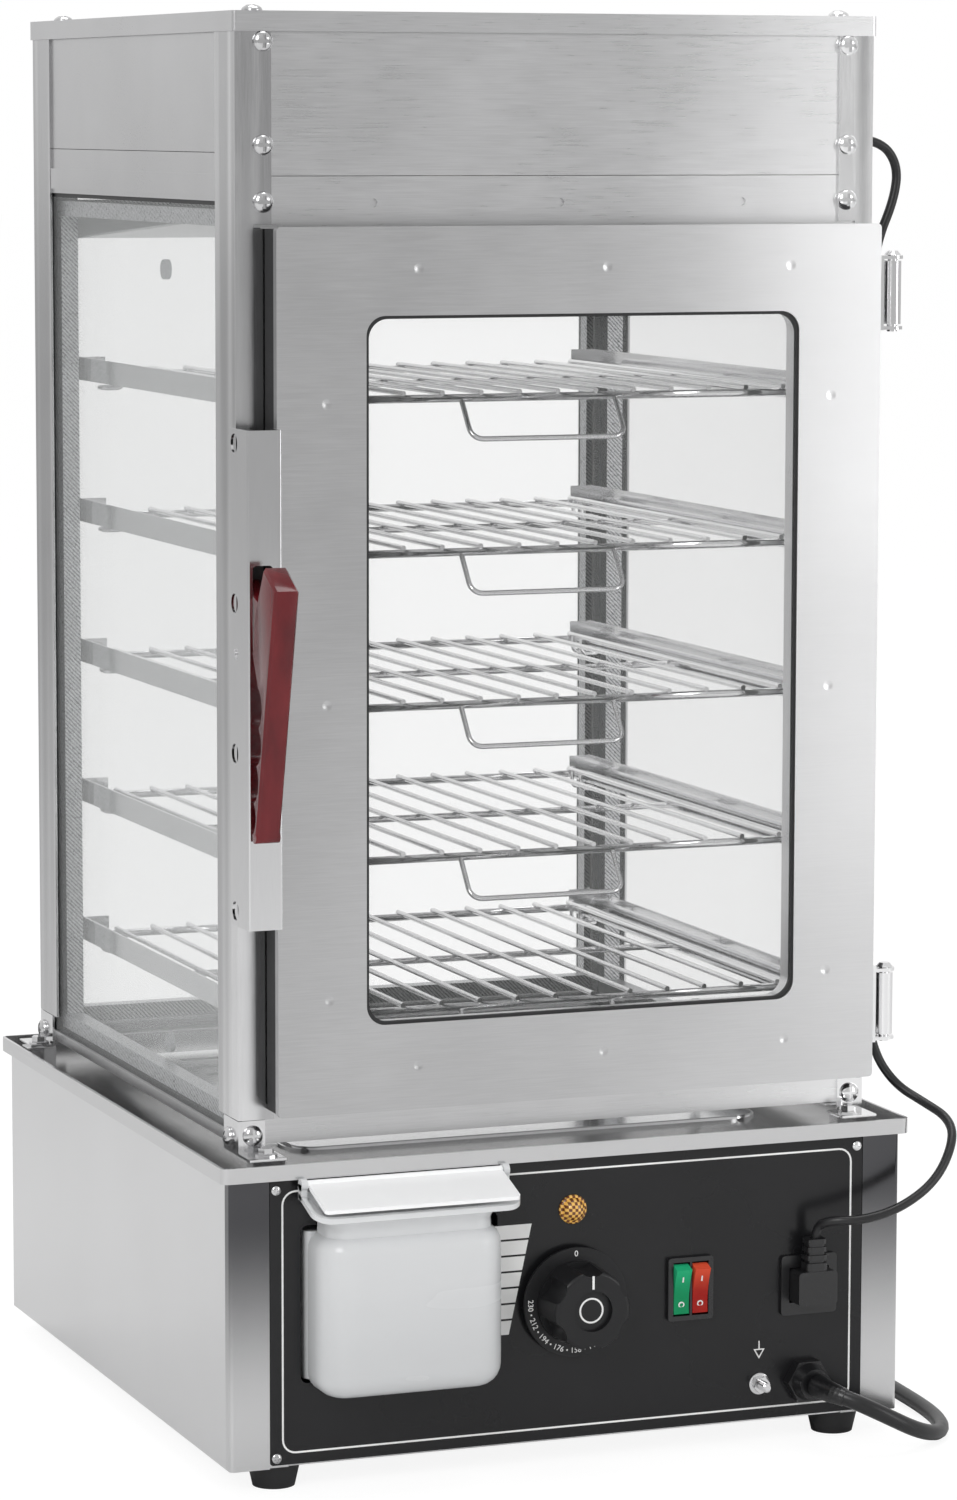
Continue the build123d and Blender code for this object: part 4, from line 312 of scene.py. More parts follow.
finishes["black_rubber"] = moulded("black_rubber", (0.012, 0.012, 0.013), 0.50)
finishes["black_plastic"] = moulded("black_moulding", (0.010, 0.010, 0.011), 0.30, specular_ior_level=0.6)
finishes["clear_plastic"] = moulded("grey_button", (0.30, 0.31, 0.32), 0.22)
finishes["white_ceramic"] = moulded("white_ceramic", (0.84, 0.83, 0.80), 0.18, coat_weight=0.5)
finishes["cord_sheath"] = moulded("cord_sheath", (0.011, 0.011, 0.012), 0.36, 400.0, 0.14)
finishes["black_panel"] = moulded("panel_film", (0.010, 0.010, 0.011), 0.22, 1500.0, 0.05,
                                  specular_ior_level=0.35)
dial_black = moulded("dial_black", (0.010, 0.010, 0.011), 0.34, 1200.0, specular_ior_level=0.35)
white_ink = moulded("white_ink", (0.86, 0.86, 0.85), 0.40)

# Lever: deep crimson moulding, glossy, with the faint streaks of the press
lever_red = Finish("crimson_moulding", (0.115, 0.010, 0.014), 0.16, coat_weight=0.15, coat_roughness=0.06,
                   specular_ior_level=0.35)
streaks = lever_red.noise(60.0, (1, 1, 0.25), 5.0)
lever_red.set("Base Color", lever_red.blend(lever_red.ease(streaks, 0.3, 0.72), (0.085, 0.004, 0.007),
                                            (0.170, 0.010, 0.014)))
lever_red.set("Roughness", streaks * 0.14 + 0.09)
lever_red.bump(lever_red.noise(260.0, detail=2.0), 0.00006, 0.4)
finishes["crimson_bakelite"] = lever_red

# Water box: milky moulding whose wall lets light in, and its frosted lid
milk = Finish("milky_moulding", (0.80, 0.81, 0.82), 0.26, subsurface_weight=0.25, subsurface_scale=0.01,
              subsurface_radius=(1.0, 1.0, 1.0))
milk_height = milk.axis("Z")
flow = milk.noise(14.0, (1, 1, 3), 2.0)
milk_tone = milk.ease(milk_height + flow * 0.02, 0.05, 0.15, 0.25, 0.9)
milk.set("Base Color", milk.blend(milk_tone, (0.60, 0.61, 0.62), (0.76, 0.77, 0.78)))
milk.set("Roughness", flow * 0.12 + 0.2)
milk.bump(milk.noise(40.0, (1, 1, 2.5), 2.0), 0.0004, 0.25)
finishes["milky_plastic"] = milk
# The frosted lid carries a faint painted glow, a weak white emission
lid_clear = Finish("frosted_lid", (0.95, 0.955, 0.96), 0.14, coat_weight=0.4, emission_strength=0.12,
                   emission_color=(1, 1, 1, 1))
lid_cloud = lid_clear.noise(40.0)
lid_clear.set("Alpha", lid_cloud * 0.06 + 0.90)
lid_clear.set("Roughness", lid_cloud * 0.15 + 0.08)
finishes["clear_lid"] = lid_clear


def pane(name, veil, tint=(0.93, 0.95, 0.95)):
    """Clean glass: nearly clear face on, more of a sheen at a glancing angle, with faint wipe marks."""
    finish = Finish(name, tint, 0.05, specular_ior_level=0.9)
    wiped = finish.noise(5.0, (1, 1, 0.4), 5.0)
    glance = finish.field("ShaderNodeLayerWeight", None, {"Blend": 0.35}, output=1)
    finish.set("Alpha", glance * 0.10 + wiped * 0.02 + veil)
    finish.set("Roughness", wiped * 0.08 + 0.02)
    return finish


finishes["clear_glass"] = pane("clear_glass", 0.012)
side_glass = pane("side_glass", 0.08)
finishes["lamp_glass"] = pane("frosted_lamp_glass", 0.55, (1.0, 0.97, 0.88))

# Pilot light: an amber jewel over its lamp, with painted glints on its small facets, in its colour and as a
# faint painted glow
amber = Finish("amber_jewel", (0.30, 0.10, 0.02), 0.12, coat_weight=0.3, emission_strength=0.15)
jewel_x, jewel_z = amber.axis("X"), amber.axis("Z")
facet = 0.0030
first = abs((jewel_x + jewel_z) % facet - facet / 2)
second = abs((jewel_x - jewel_z) % facet - facet / 2)
spark = amber.ease(first + second, 0.0011, 0.0019)
amber.set("Emission Color", amber.blend(spark, (0.25, 0.06, 0.01), (1.0, 0.62, 0.12)))
amber.set("Base Color", amber.blend(spark, (0.10, 0.03, 0.01), (0.75, 0.42, 0.10)))
amber.bump(spark, 0.0004, 0.6)
finishes["amber_lens"] = amber


def rocker_finish(name, deep, bright):
    """Clear coloured rocker, painted lighter where its upper half catches the light, and given a faint
    painted glow in the same colours.
    """
    finish = Finish(name, deep, 0.14, specular_ior_level=0.15, emission_strength=0.12)
    height = finish.ease(finish.axis("Z"), 78 * MM, 97 * MM)
    cloud = finish.noise(120.0)
    tone = finish.blend(height * 0.8 + cloud * 0.2, deep, bright)
    finish.set("Base Color", tone)
    finish.set("Emission Color", tone)
    finish.set("Roughness", cloud * 0.12 + 0.08)
    return finish


finishes["green_plastic"] = rocker_finish("green_rocker", (0.004, 0.20, 0.075), (0.02, 0.42, 0.19))
finishes["red_plastic"] = rocker_finish("red_rocker", (0.24, 0.002, 0.004), (0.72, 0.09, 0.04))

# Nodes that have a finish of their own within their slot
own_finish = {
    "front_posts": upright_steel, "rear_posts": upright_steel, "door_frame": upright_steel,
    "base_shell": side_steel, "base_tray": bright_tray, "door_skin": door_steel,
    "dial_knob": dial_black, "left_glass": side_glass,
}
slot_of = {row["node"]: row["material_slot"] for row in frame["record"]["subparts"]}
for node_name, node in nodes.items():
    material = own_finish.get(node_name, finishes[slot_of[node_name]]).material
    if not node.material_slots:
        node.data.materials.append(material)
    for material_slot in node.material_slots:
        material_slot.material = material


# Studio: pale floor, white surroundings and three soft lamps
def studio_share(tree):
    """One where a ray comes straight from the camera or through a pane, else zero."""
    seen, through = (tree.field("ShaderNodeLightPath", output=name)
                     for name in ("Is Camera Ray", "Is Transmission Ray"))
    return seen.upper(through)


world = bpy.data.worlds.new("studio")
world.use_nodes = True
scene.world = world
air = Tree(world.node_tree)
for unused in list(world.node_tree.nodes):
    world.node_tree.nodes.remove(unused)
direction = air.field("ShaderNodeTexCoord", output=0)
side, depth, height = (air.field("ShaderNodeSeparateXYZ", None, {0: direction}, output=k)
                       for k in range(3))
drift = air.field("ShaderNodeTexNoise", None, {"Vector": direction, "Scale": 1.6, "Detail": 1.0})
reflected = (drift * 0.50 + abs(side) * 0.10 + height.upper(0.0) * 0.25
             + depth.upper(0.0) * 0.36 + 0.42)
plain_light = air.field("ShaderNodeBackground", None, {"Strength": 0.62})
gloss_light = air.field("ShaderNodeBackground", None, {"Strength": reflected})
white = air.field("ShaderNodeBackground", None, {"Color": (1, 1, 1, 1), "Strength": 1.0})
is_gloss = air.field("ShaderNodeLightPath", output="Is Glossy Ray")
lit = air.field("ShaderNodeMixShader", None, {0: is_gloss, 1: plain_light, 2: gloss_light})
shown = air.field("ShaderNodeMixShader", None, {0: studio_share(air), 1: lit, 2: white})
air.node("ShaderNodeOutputWorld", None, {"Surface": shown})

floor_mesh = bpy.data.meshes.new("floor")
floor_reach = 30.0
floor_mesh.from_pydata([(-floor_reach, -floor_reach, 0), (floor_reach, -floor_reach, 0),
                        (floor_reach, floor_reach, 0), (-floor_reach, floor_reach, 0)], [], [(0, 1, 2, 3)])
floor = bpy.data.objects.new("floor", floor_mesh)
scene.collection.objects.link(floor)
floor_paint = Finish("pale_floor", (0.90, 0.90, 0.90), 0.7)
glow = floor_paint.field("ShaderNodeEmission", None, {"Color": (1, 1, 1, 1), "Strength": 1.14})
floor_share = studio_share(floor_paint) * 0.78
floor_shading = Field(floor_paint, floor_paint.shader.outputs[0])
floor_look = floor_paint.field("ShaderNodeMixShader", None, {0: floor_share, 1: floor_shading, 2: glow})
floor_paint.feed(floor_look, floor_paint.tree.nodes["Material Output"].inputs["Surface"])
floor_mesh.materials.append(floor_paint.material)


def soft_lamp(name, place, aim, size, watts):
    """An area lamp that looks at a point."""
    lamp = bpy.data.lights.new(name, "AREA")
    lamp.shape = "RECTANGLE"
    lamp.size, lamp.size_y, lamp.energy = size[0], size[1], watts
    holder = bpy.data.objects.new(name, lamp)
    holder.location = place
    holder.rotation_mode = "QUATERNION"
    holder.rotation_quaternion = (Vector(aim) - Vector(place)).to_track_quat("-Z", "Y")
    scene.collection.objects.link(holder)


soft_lamp("key_lamp", (-2.2, -2.4, 2.2), (0, 0, 0.35), (1.3, 1.6), 46)
soft_lamp("side_lamp", (2.05, -2.25, 0.85), (0, 0, 0.35), (0.7, 2.0), 15)
soft_lamp("top_lamp", (0.2, 0.2, 2.6), (0, 0, 0.4), (1.6, 1.2), 22)


# Making pieces
def piece(name, mesh, finish, body, smooth=True):
    """A finished piece that rides on a body; its place is in its mesh."""
    made = bpy.data.objects.new(name, mesh)
    mesh.name = name
    mesh.materials.clear()
    mesh.materials.append(finish.material)
    if smooth:
        mesh.polygons.foreach_set("use_smooth", [True] * len(mesh.polygons))
    scene.collection.objects.link(made)
    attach(made, body)
    return made


def mesh_of(parts, name="form"):
    """One mesh from lists of points and faces, its doubles merged and its faces turned outwards."""
    shape = bmesh.new()
    for points, faces in parts:
        corners = [shape.verts.new(p) for p in points]
        for face in faces:
            shape.faces.new([corners[i] for i in face])
    bmesh.ops.remove_doubles(shape, verts=shape.verts, dist=1e-7)
    bmesh.ops.recalc_face_normals(shape, faces=shape.faces)
    mesh = bpy.data.meshes.new(name)
    shape.to_mesh(mesh)
    shape.free()
    return mesh


def placed(parts, matrix):
    """The parts with a matrix put on every point."""
    return [([matrix @ Vector(p) for p in points], faces) for points, faces in parts]


def facing(direction, origin):
    """A matrix whose local Z looks along a direction and whose local Y is upright, with mm as units."""
    z = Vector(direction).normalized()
    up = Vector((0, 1, 0)) if abs(z.z) > 0.9 else Vector((0, 0, 1))
    x = up.cross(z).normalized()
    y = z.cross(x)
    return Matrix.Translation(mm(*origin)) @ Matrix((x, y, z)).transposed().to_4x4() @ Matrix.Scale(MM, 4)


front = (0, -1, 0)
in_mm = Matrix.Scale(MM, 4)


def turned(profile, steps=32):
    """A lathe form about local Z through (radius, height) points, closed where the radius is zero."""
    points, faces = [], []
    for radius, height in profile:
        points += [(radius * cos(2 * pi * k / steps), radius * sin(2 * pi * k / steps), height)
                   for k in range(steps)]
    for ring in range(len(profile) - 1):
        for k in range(steps):
            a, b = ring * steps + k, ring * steps + (k + 1) % steps
            faces.append((a, b, b + steps, a + steps))
    return [(points, faces)]


def prism(outline, low, high):
    """A straight prism on a closed outline in local X and Y."""
    count = len(outline)
    points = [(x, y, low) for x, y in outline] + [(x, y, high) for x, y in outline]
    faces = [tuple(range(count))[::-1], tuple(range(count, 2 * count))]
    faces += [(k, (k + 1) % count, (k + 1) % count + count, k + count) for k in range(count)]
    return [(points, faces)]


def rectangle(width, depth, x=0.0, y=0.0):
    return [(x - width / 2, y - depth / 2), (x + width / 2, y - depth / 2),
            (x + width / 2, y + depth / 2), (x - width / 2, y + depth / 2)]


def rounded(width, height, radius, x=0.0, y=0.0, steps=6):
    """The outline of a rectangle with round corners."""
    outline = []
    for corner, (sx, sy) in enumerate(((1, 1), (-1, 1), (-1, -1), (1, -1))):
        for k in range(steps + 1):
            turn = (corner + k / steps) * pi / 2
            outline.append((x + sx * (width / 2 - radius) + radius * cos(turn),
                            y + sy * (height / 2 - radius) + radius * sin(turn)))
    return outline


def frame_between(outer, inner, low, high):
    """A closed band between two outlines of as many points."""
    count = len(outer)
    points = [(x, y, z) for z in (low, high) for ring in (outer, inner) for x, y in ring]
    faces = []
    for k in range(count):
        n = (k + 1) % count
        o0, i0, o1, i1 = 0, count, 2 * count, 3 * count
        faces += [(o0 + k, o0 + n, i0 + n, i0 + k), (o1 + k, i1 + k, i1 + n, o1 + n),
                  (o0 + k, o1 + k, o1 + n, o0 + n), (i0 + k, i0 + n, i1 + n, i1 + k)]
    return [(points, faces)]


def bent(points, radius, steps=5):
    """The points of a bar whose corners are bent to a radius."""
    points = [Vector(p) for p in points]
    line = [points[0]]
    for before, corner, after in zip(points, points[1:], points[2:]):
        back, on = (before - corner).normalized(), (after - corner).normalized()
        half = back.angle(on) / 2
        reach = radius / abs(sin(half) / cos(half))
        centre = corner + (back + on).normalized() * radius / sin(half)
        start, end = corner + back * reach - centre, corner + on * reach - centre
        sweep = start.angle(end)
        line += [centre + (start * sin(sweep * (1 - k / steps)) + end * sin(sweep * k / steps)) / sin(sweep)
                 for k in range(steps + 1)]
    return line + [points[-1]]


def tube(line, radii, sides=12):
    """A closed round bar along points, with one radius or one for each point."""
    line = [Vector(p) for p in line]
    if not hasattr(radii, "__len__"):
        radii = [radii] * len(line)
    points, faces = [], []
    normal = None
    for k, here in enumerate(line):
        way = (line[min(k + 1, len(line) - 1)] - line[max(k - 1, 0)]).normalized()
        if normal is None:
            normal = way.orthogonal().normalized()
        normal = (normal - way * normal.dot(way)).normalized()
        other = way.cross(normal)
        points += [here + (normal * cos(2 * pi * s / sides) + other * sin(2 * pi * s / sides)) * radii[k]
                   for s in range(sides)]
    for ring in range(len(line) - 1):
        for s in range(sides):
            a, b = ring * sides + s, ring * sides + (s + 1) % sides
            faces.append((a, b, b + sides, a + sides))
    last = (len(line) - 1) * sides
    faces += [tuple(range(sides))[::-1], tuple(range(last, last + sides))]
    return [(points, faces)]


def plain_mesh(thing):
    """The finished mesh of an object with its modifiers, or of a text, as plain data; the object goes."""
    bpy.context.view_layer.update()
    ready = thing.evaluated_get(bpy.context.evaluated_depsgraph_get())
    mesh = bpy.data.meshes.new_from_object(ready)
    bpy.data.objects.remove(thing)
    return mesh


def spread_tree():
    """Geometry Nodes: one form set on every point of the mesh it is given, all turned alike."""
    group = bpy.data.node_groups.new("spread_on_spots", "GeometryNodeTree")
    wanted = [("Spots", "NodeSocketGeometry"), ("Form", "NodeSocketObject"), ("Turn", "NodeSocketRotation"),
              ("Finish", "NodeSocketMaterial")]
    for name, kind in wanted:
        group.interface.new_socket(name=name, in_out="INPUT", socket_type=kind)
    group.interface.new_socket(name="Pieces", in_out="OUTPUT", socket_type="NodeSocketGeometry")
    tree = Tree(group)
    given = tree.node("NodeGroupInput")
    asked = {name: Field(tree, given.outputs[name]) for name, kind in wanted}
    spots = tree.field("GeometryNodeMeshToPoints", None, {"Mesh": asked["Spots"]})
    form = tree.field("GeometryNodeObjectInfo", None, {"Object": asked["Form"]}, output="Geometry")
    copies = tree.field("GeometryNodeInstanceOnPoints", None,
                        {"Points": spots, "Instance": form, "Rotation": asked["Turn"]})
    real = tree.field("GeometryNodeRealizeInstances", None, {"Geometry": copies})
    done = tree.field("GeometryNodeSetMaterial", None, {"Geometry": real, "Material": asked["Finish"]})
    tree.node("NodeGroupOutput", None, {"Pieces": done})
    return group


def grid_tree():
    """Geometry Nodes: straight round wires side by side, from their count, pitch, length and radius."""
    group = bpy.data.node_groups.new("wire_grid", "GeometryNodeTree")
    wanted = [("Start", "NodeSocketGeometry"), ("Wires", "NodeSocketInt"), ("Pitch", "NodeSocketFloat"),
              ("Length", "NodeSocketFloat"), ("Radius", "NodeSocketFloat"), ("First", "NodeSocketVector"),
              ("Finish", "NodeSocketMaterial")]
    for name, kind in wanted:
        group.interface.new_socket(name=name, in_out="INPUT", socket_type=kind)
    group.interface.new_socket(name="Grid", in_out="OUTPUT", socket_type="NodeSocketGeometry")
    tree = Tree(group)
    given = tree.node("NodeGroupInput")
    asked = {name: Field(tree, given.outputs[name]) for name, kind in wanted}
    step = tree.field("ShaderNodeCombineXYZ", None, {"X": asked["Pitch"]})
    row = tree.field("GeometryNodeMeshLine", {"mode": "OFFSET"},
                     {"Count": asked["Wires"], "Start Location": asked["First"], "Offset": step})
    end = tree.field("ShaderNodeCombineXYZ", None, {"Y": asked["Length"]})
    line = tree.field("GeometryNodeCurvePrimitiveLine", None, {"End": end})
    ring = tree.field("GeometryNodeCurvePrimitiveCircle", None,
                      {"Resolution": 12, "Radius": asked["Radius"]})
    wire = tree.field("GeometryNodeCurveToMesh", None,
                      {"Curve": line, "Profile Curve": ring, "Fill Caps": True})
    copies = tree.field("GeometryNodeInstanceOnPoints", None, {"Points": row, "Instance": wire})
    real = tree.field("GeometryNodeRealizeInstances", None, {"Geometry": copies})
    done = tree.field("GeometryNodeSetMaterial", None, {"Geometry": real, "Material": asked["Finish"]})
    tree.node("NodeGroupOutput", None, {"Grid": done})
    return group


def grown(group, base, **values):
    """The plain mesh that a Geometry Nodes group makes from a base mesh and its named inputs."""
    host = bpy.data.objects.new("host", base)
    scene.collection.objects.link(host)
    modifier = host.modifiers.new("grow", "NODES")
    modifier.node_group = group
    sockets = {s.name: s.identifier for s in group.interface.items_tree if s.in_out == "INPUT"}
    for name, value in values.items():
        modifier[sockets[name]] = value
    return plain_mesh(host)


def spots_mesh(spots):
    """A mesh of loose points given in millimetres."""
    mesh = bpy.data.meshes.new("spots")
    mesh.from_pydata([mm(*spot) for spot in spots], [], [])
    return mesh


spread = spread_tree()
wire_grid = grid_tree()


def parts_of(mesh):
    """The points and faces of a mesh, to be joined with others."""
    return [([v.co.copy() for v in mesh.vertices], [tuple(f.vertices) for f in mesh.polygons])]


def soften(node_name, finish, body, width, new_name):
    """A copy of a node with its flat faces joined and its edges rounded, in the node's place."""
    shape = bmesh.new()
    shape.from_mesh(nodes[node_name].data)
    bmesh.ops.remove_doubles(shape, verts=shape.verts, dist=1e-6)
    bmesh.ops.dissolve_limit(shape, angle_limit=radians(2.0), verts=shape.verts, edges=shape.edges)
    mesh = bpy.data.meshes.new(new_name)
    shape.to_mesh(mesh)
    shape.free()
    holder = bpy.data.objects.new("eased", mesh)
    scene.collection.objects.link(holder)
    bevel = holder.modifiers.new("ease", "BEVEL")
    bevel.width, bevel.segments, bevel.limit_method = width * MM, 2, "ANGLE"
    bevel.angle_limit = radians(30)
    bevel.use_clamp_overlap = True
    eased = plain_mesh(holder)
    made = piece(new_name, eased, finish, body)
    eased.set_sharp_from_angle(angle=radians(35))
    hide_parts(node_name)


soften("door_handle", lever_red, "handle_lever", 0.7, "lever_grip")

# Water box: a body with round corners, a shoulder, a narrow neck and a flared filling mouth
box_left, box_right, box_front_y, box_back_y = -137.0, -43.0, -194.0, -167.5
mouth_left, mouth_right, mouth_front_y, mouth_back_y = -142.0, -36.0, -196.0, -168.0
mouth_front_height, mouth_back_height = 138.0, 147.0
neck_start, neck_end, neck_in = 126.0, 128.0, 5.0
box_bottom, foot_radius, front_corner, back_radius, box_wall_thick = 48.0, 11.0, 15.0, 2.0, 2.0
rim_height = 2.5


def box_ring(inset, heights, left, right, front_y, back_y, front_radius):
    """One level outline of the water box, whose height may rise from its front to its back."""
    left, right, front_y, back_y = left + inset, right - inset, front_y + inset, back_y - inset
    ring = []
    corners = ((right, back_y, back_radius), (left, back_y, back_radius),
               (left, front_y, front_radius), (right, front_y, front_radius))
    for corner, (x_end, y_end, radius) in enumerate(corners):
        radius = max(radius - inset, 1.0)
        sx, sy = (1 if corner in (0, 3) else -1), (1 if corner < 2 else -1)
        for k in range(9):
            turn = (corner + k / 8) * pi / 2
            x = x_end - sx * radius + radius * cos(turn)
            y = y_end - sy * radius + radius * sin(turn)
            rise = (y - mouth_front_y) / (mouth_back_y - mouth_front_y)
            ring.append(mm(x, y, heights[0] + (heights[1] - heights[0]) * rise))
    return ring


def box_wall(inset):
    """The outlines of one face of the wall, from the bottom to the rim."""
    rings = []
    for k in range(7):
        turn = k * pi / 12
        drawn_in = foot_radius * (1 - sin(turn)) + inset
        height = box_bottom + inset + foot_radius * (1 - cos(turn))
        rings.append(box_ring(drawn_in, (height, height), box_left, box_right, box_front_y,
                              box_back_y + drawn_in - inset, front_corner))
    for height, drawn_in in ((116.0, 0.0), (120.5, 0.4), (123.5, 1.8), (125.2, 3.6),
                             (neck_start, neck_in), (neck_end, neck_in)):
        rings.append(box_ring(inset + drawn_in, (height, height), box_left, box_right, box_front_y,
                              box_back_y + drawn_in, front_corner))
    for k in range(1, 9):
        share = k / 8
        flare = 1 - cos(share * pi / 2)
        heights = [neck_end + (top - neck_end) * sin(share * pi / 2) for top in
                   (mouth_front_height - rim_height, mouth_back_height - rim_height)]
        ends = ((box_left + neck_in, mouth_left), (box_right - neck_in, mouth_right),
                (box_front_y + neck_in, mouth_front_y), (box_back_y, mouth_back_y))
        edges = [a + (b - a) * flare for a, b in ends]
        rings.append(box_ring(inset, heights, *edges, 12.0 - 3.0 * share))
    rings.append(box_ring(inset, (mouth_front_height, mouth_back_height), mouth_left, mouth_right,
                          mouth_front_y, mouth_back_y, 9.0))
    return rings


box_rings = box_wall(0.0) + box_wall(box_wall_thick)[::-1]
around, ring_count = len(box_rings[0]), len(box_rings)
box_points = [point for ring in box_rings for point in ring]
box_faces = [(r * around + k, r * around + (k + 1) % around, (r + 1) * around + (k + 1) % around,
              (r + 1) * around + k) for r in range(ring_count - 1) for k in range(around)]
box_faces += [tuple(range(around))[::-1], tuple(range((ring_count - 1) * around, ring_count * around))]
box_parts = [(box_points, box_faces)]
tail_outline = rounded(box_right - box_left, 28.0, 4.0, (box_left + box_right) / 2, -152.0)
box_parts += placed(prism(tail_outline, 54.0, neck_start), in_mm)
ear_thick, ear_height = 3.0, 150.5
for ear_x in (mouth_left, mouth_right - ear_thick):
    ear = turned([(0, 0), (3.0, 0), (3.0, ear_thick), (0, ear_thick)], 20)
    box_parts += placed(ear, facing((1, 0, 0), (ear_x, -172.5, ear_height)))
    box_parts += placed(prism(rectangle(5.0, 7.5, 0, -3.6), 0, ear_thick),
                        facing((1, 0, 0), (ear_x, -172.0, ear_height)))
box_mesh = mesh_of(box_parts)
water_box = piece("water_box_shell", box_mesh, milk, "cabinet")
box_mesh.set_sharp_from_angle(angle=radians(40))
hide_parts("water_box")

# Screws with domed heads and cross recesses
head_radius, head_rise = 5.0, 3.1


def cross_screw(radius, rise, recess):
    """A domed head about local Z, with a cross sunk into it."""
    dome = [(radius * 0.97, 0.0), (radius, rise * 0.12)]
    dome += [(radius * cos(k * pi / 14), rise * (0.12 + 0.88 * sin(k * pi / 14))) for k in range(1, 7)]
    dome += [(0.0, rise)]
    base = [(0.0, -0.4), (radius * 0.5, -0.4), (radius * 0.5, 0.0)]
    head = mesh_of(placed(turned(base + dome, 28), in_mm))
    long, wide = radius * 0.62, radius * 0.17
    cross = [(wide, wide), (long, wide), (long, -wide), (wide, -wide), (wide, -long), (-wide, -long),
             (-wide, -wide), (-long, -wide), (-long, wide), (-wide, wide), (-wide, long), (wide, long)]
    cutter = bpy.data.objects.new("cutter", mesh_of(placed(prism(cross, rise - recess, rise + 1), in_mm)))
    screw = bpy.data.objects.new("screw", head)
    for thing in (cutter, screw):
        scene.collection.objects.link(thing)
    cut = screw.modifiers.new("recess", "BOOLEAN")
    cut.operation, cut.object, cut.solver = "DIFFERENCE", cutter, "EXACT"
    mesh = plain_mesh(screw)
    bpy.data.objects.remove(cutter)
    return mesh


def screw_set(name, groups, mesh, finish):
    """Screws spread by Geometry Nodes over spots, for each way they face, joined into one piece."""
    master = bpy.data.objects.new("one_screw", mesh)
    scene.collection.objects.link(master)
    parts = []
    for direction, spots in groups:
        turn = facing(direction, (0, 0, 0)).to_3x3().normalized().to_euler()
        parts += parts_of(grown(spread, spots_mesh(spots), Form=master, Turn=turn,
                                Finish=finish.material))
    bpy.data.objects.remove(master)
    return piece(name, mesh_of(parts), finish, "cabinet")


screw_finish = finishes["screw_steel"]
dome_mesh = cross_screw(head_radius, head_rise, 1.3)
side_spots = [(-133.4, 168.0), (181.3, 168.0)]
frame_screw_groups = [
    ((0, 0, 1), [(sx * 151.2, mid_y + sy * 154.0, cabinet_top) for sx in (-1, 1) for sy in (-1, 1)]),
    (front, [(s * 150.4, cabinet_front, z) for s in (-1, 1) for z in (614.0, 640.5, 688.5)]
     + [(s * 157.0, cabinet_front, 170.5) for s in (-1, 1)]),
    ((1, 0, 0), [(cabinet_half_width, y, z) for y, z in side_spots]),
    ((-1, 0, 0), [(-cabinet_half_width, y, z) for y, z in side_spots]),
]
screws = screw_set("cross_head_screws", frame_screw_groups, dome_mesh, screw_finish)
screws.data.set_sharp_from_angle(angle=radians(40))
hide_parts("frame_screws")
panel_screw = cross_screw(2.6, 1.5, 0.8)
panel_screws = screw_set("panel_screws", [(front, [(sx * 152.2, panel_face, z) for sx in (-1, 1)
                                                   for z in (17.0, 147.5)])], panel_screw, screw_finish)
panel_screws.data.set_sharp_from_angle(angle=radians(40))

# Wire racks: round wires welded across a rod frame, with the drop handle and the hooks at the back
rack_half, rack_front, rack_rear = 138.5, -118.0, 158.0
rod_radius, middle_radius, wire_radius, hook_radius = 2.0, 1.7, 1.3, 1.15
weld_sink = 0.6
rod_height = 3.05
wire_height = rod_height + rod_radius + wire_radius - weld_sink
wire_count, wire_pitch, wire_end = 14, 20.0, 1.2
wire_reach = wire_pitch * (wire_count - 1) / 2
hook_y, hook_drop, hook_toe, hook_step = mid_y + 122.0, 3.5, 10.0, 12.0
handle_half, handle_out, handle_drop, bend_radius = 40.0, 15.0, 19.0, 6.0
chrome = finishes["chromed_wire"]
for number, tier in enumerate(tiers, 1):
    rod_z, wire_z = tier + rod_height, tier + wire_height
    first = mm(-wire_reach, rack_front - wire_end, wire_z)
    grid = grown(wire_grid, spots_mesh([(0, 0, 0)]), Wires=wire_count, Pitch=wire_pitch * MM,
                 Length=(rack_rear - rack_front + 2 * wire_end) * MM, Radius=wire_radius * MM,
                 First=first, Finish=chrome.material)
    parts = parts_of(grid)
    for side_sign in (-1, 1):
        x = side_sign * rack_half
        parts += tube(bent([mm(0, rack_front, rod_z), mm(x, rack_front, rod_z), mm(x, rack_rear, rod_z),
                            mm(0, rack_rear, rod_z)], bend_radius * MM), rod_radius * MM)
        leg, toe = side_sign * wire_reach, side_sign * (wire_reach + hook_toe)
        low, hook_back = tier - hook_drop, hook_y + hook_step
        parts += tube(bent([mm(leg, hook_y, wire_z), mm(leg, hook_y, low), mm(toe, hook_y, low),
                            mm(toe, hook_back, low), mm(leg, hook_back, low),
                            mm(leg, hook_back, wire_z)], 3 * MM, 4), hook_radius * MM, 8)
    parts += tube([mm(-rack_half, mid_y, rod_z), mm(rack_half, mid_y, rod_z)], middle_radius * MM)
    handle_front, handle_low = rack_front - handle_out, rod_z - handle_drop
    parts += tube(bent([mm(-handle_half, rack_front, rod_z), mm(-handle_half, handle_front, handle_low),
                        mm(handle_half, handle_front, handle_low), mm(handle_half, rack_front, rod_z)],
                       bend_radius * MM), wire_radius * MM)
    rack = piece(f"rack_{number}_wires", mesh_of(parts), chrome, f"rack_{number}")
    rack.data.set_sharp_from_angle(angle=radians(50))
    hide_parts(f"rack_{number}")


# Printing on the dial and the panel
def print_mesh(text, size, matrix):
    """Flat raised figures, made a mesh before they are placed."""
    figure_thick = 0.1
    curve = bpy.data.curves.new("figures", "FONT")
    curve.body, curve.size, curve.extrude = text, size, figure_thick / 2
    curve.align_x, curve.align_y = "CENTER", "CENTER"
    curve.resolution_u = 3
    holder = bpy.data.objects.new("figures", curve)
    scene.collection.objects.link(holder)
    return placed(parts_of(plain_mesh(holder)), matrix)


